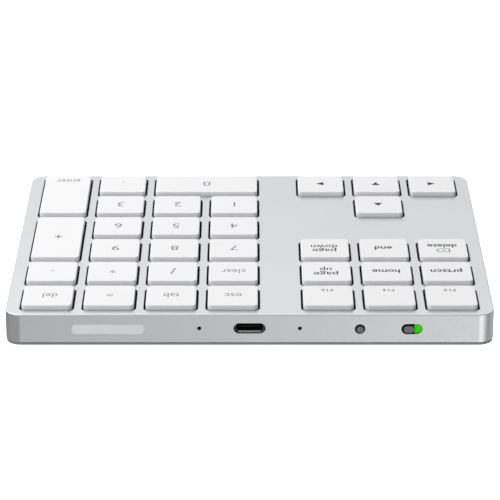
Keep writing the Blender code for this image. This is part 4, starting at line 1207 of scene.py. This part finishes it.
def build_screws():
    """Flat heads with a cross recess, and a shank with rings for its thread."""
    for node in SCREWS:
        low, high, centre, _ = box_of(node)
        head_top = low.z + HEAD_HEIGHT
        pitch = (high.z - head_top - THREAD_ENDS) / THREAD_TURNS
        profile = [(HEAD_RADIUS - HEAD_EDGE, low.z), (HEAD_RADIUS, low.z + HEAD_EDGE_RISE),
                   (HEAD_RADIUS, head_top), (SHANK_RADIUS, head_top)]
        for turn in range(THREAD_TURNS):
            start = head_top + THREAD_START + turn * pitch
            profile += [(SHANK_RADIUS, start), (SHANK_RADIUS - THREAD_DEPTH, start + THREAD_RISE)]
        profile += [(SHANK_RADIUS * 0.9, high.z - SCREW_TIP), (SHANK_RADIUS * 0.5, high.z)]
        screw = as_object(f"{node}_fine", [turned(profile, centre, 28)])
        place = Matrix.Translation((centre.x, centre.y, 0.0)) @ Matrix.Rotation(RECESS_TURN, 4, "Z")
        for half_x, half_y in ((RECESS_HALF, RECESS_HALF_WIDTH), (RECESS_HALF_WIDTH, RECESS_HALF)):
            slot = post(0.0, 0.0, half_x, half_y, low.z - THROUGH, low.z + RECESS_DEPTH, 0.0)
            cut(screw, [moved(slot, place)])
        finish_piece(screw, "screw_steel", replaced=[node])


# ---------------------------------------------------------------- camera, floor and light

def add_camera():
    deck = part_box("top_housing")[1].z
    camera = bpy.data.objects.new("camera", bpy.data.cameras.new("camera"))
    camera.data.lens = CAMERA_LENS
    camera.data.sensor_width = SENSOR_WIDTH
    camera.data.clip_start = CLIP_START
    camera.data.clip_end = CLIP_END
    camera.location = (CAMERA_SIDE, CAMERA_BACK, deck + CAMERA_RISE)
    camera.rotation_euler = (CAMERA_TILT, 0.0, math.pi)
    bpy.context.scene.collection.objects.link(camera)
    bpy.context.scene.camera = camera


# Soft lobes of the studio dome: azimuth from +Y towards +X and elevation in degrees, tightness, strength
LOBES = [
    (165, 22, 14, 0.2),
    (180, 55, 8, 1.85),
    (35, 25, 8, 0.8),
    (80, 30, 6, 0.8),
    (-50, -24, 30, 0.55),
    (-30, -24, 30, 1.1),
    (-15, -24, 30, 1.4),
    (-115, -20, 12, 0.4),
]
DOME_BASE = 0.32
FLOOR_GLOW = 1.0
FLOOR_HALF, FLOOR_THICKNESS = 3.0, 0.01
# Square panels aimed at the object: place, side and power
PANELS = [
    ("panel_front", (0.20, -0.10, 0.22), 0.25, 0.25),
    ("panel_rear", (0.25, 0.30, 0.30), 0.30, 0.35),
]


def add_dome():
    """A pale world with a few broad soft lobes, by direction."""
    world = bpy.data.worlds.new("studio")
    world.use_nodes = True
    tree = world.node_tree
    direction = tree.nodes.new("ShaderNodeTexCoord").outputs["Generated"]
    total = None
    for azimuth, elevation, tightness, strength in LOBES:
        across, rise = math.radians(azimuth), math.radians(elevation)
        towards = (math.sin(across) * math.cos(rise), math.cos(across) * math.cos(rise), math.sin(rise))
        dot = make_node(tree, "ShaderNodeVectorMath", {1: towards})
        dot.operation = "DOT_PRODUCT"
        tree.links.new(direction, dot.inputs[0])
        fall = make_node(tree, "ShaderNodeMath", {1: tightness, 2: -tightness})
        fall.operation = "MULTIPLY_ADD"
        tree.links.new(dot.outputs["Value"], fall.inputs[0])
        lobe = tree.nodes.new("ShaderNodeMath")
        lobe.operation = "EXPONENT"
        tree.links.new(fall.outputs["Value"], lobe.inputs[0])
        summed = make_node(tree, "ShaderNodeMath", {1: strength, 2: DOME_BASE})
        summed.operation = "MULTIPLY_ADD"
        tree.links.new(lobe.outputs["Value"], summed.inputs[0])
        if total is not None:
            tree.links.new(total, summed.inputs[2])
        total = summed.outputs["Value"]
    background = tree.nodes["Background"]
    background.inputs["Color"].default_value = (1.0, 1.0, 1.0, 1.0)
    tree.links.new(total, background.inputs["Strength"])
    bpy.context.scene.world = world


def add_panels():
    for name, place, side, power in PANELS:
        panel = bpy.data.objects.new(name, bpy.data.lights.new(name, "AREA"))
        panel.data.size = side
        panel.data.energy = power
        panel.location = place
        panel.rotation_euler = (-Vector(place)).to_track_quat("-Z", "Y").to_euler()
        bpy.context.scene.collection.objects.link(panel)


def add_floor():
    """A white glowing floor for the camera alone: the dome's lower half lights the object in its place."""
    floor = as_object("floor", [post(0.0, 0.0, FLOOR_HALF, FLOOR_HALF, -FLOOR_THICKNESS, 0.0, 0.0)])
    s = Surface("floor_paper", (0.80, 0.80, 0.80), 0.9)
    s.mottle(0.05, 0.003)
    s.polish(0.05, 0.05)
    s.shader.inputs["Emission Color"].default_value = (1.0, 1.0, 1.0, 1.0)
    s.shader.inputs["Emission Strength"].default_value = FLOOR_GLOW
    floor.data.materials.append(s.material)
    floor.visible_diffuse = False
    floor.visible_glossy = False
    floor.visible_transmission = False
    floor.visible_shadow = False


def add_studio():
    add_floor()
    add_dome()
    add_panels()
    bpy.context.scene.view_settings.view_transform = "Standard"


add_camera()
add_studio()
finish_cad_nodes()
build_housing()
build_window()
build_usb_shell()
build_usb_tongue()
build_lenses()
build_button()
build_slider()
build_cover()
build_feet()
build_screws()
build_sheet()
dome_top = box_of("dome_sheet")[1].z
for key in KEYS:
    build_cap(key)
    build_legend(key)
    build_dome(key, dome_top)
    build_scissor(key)
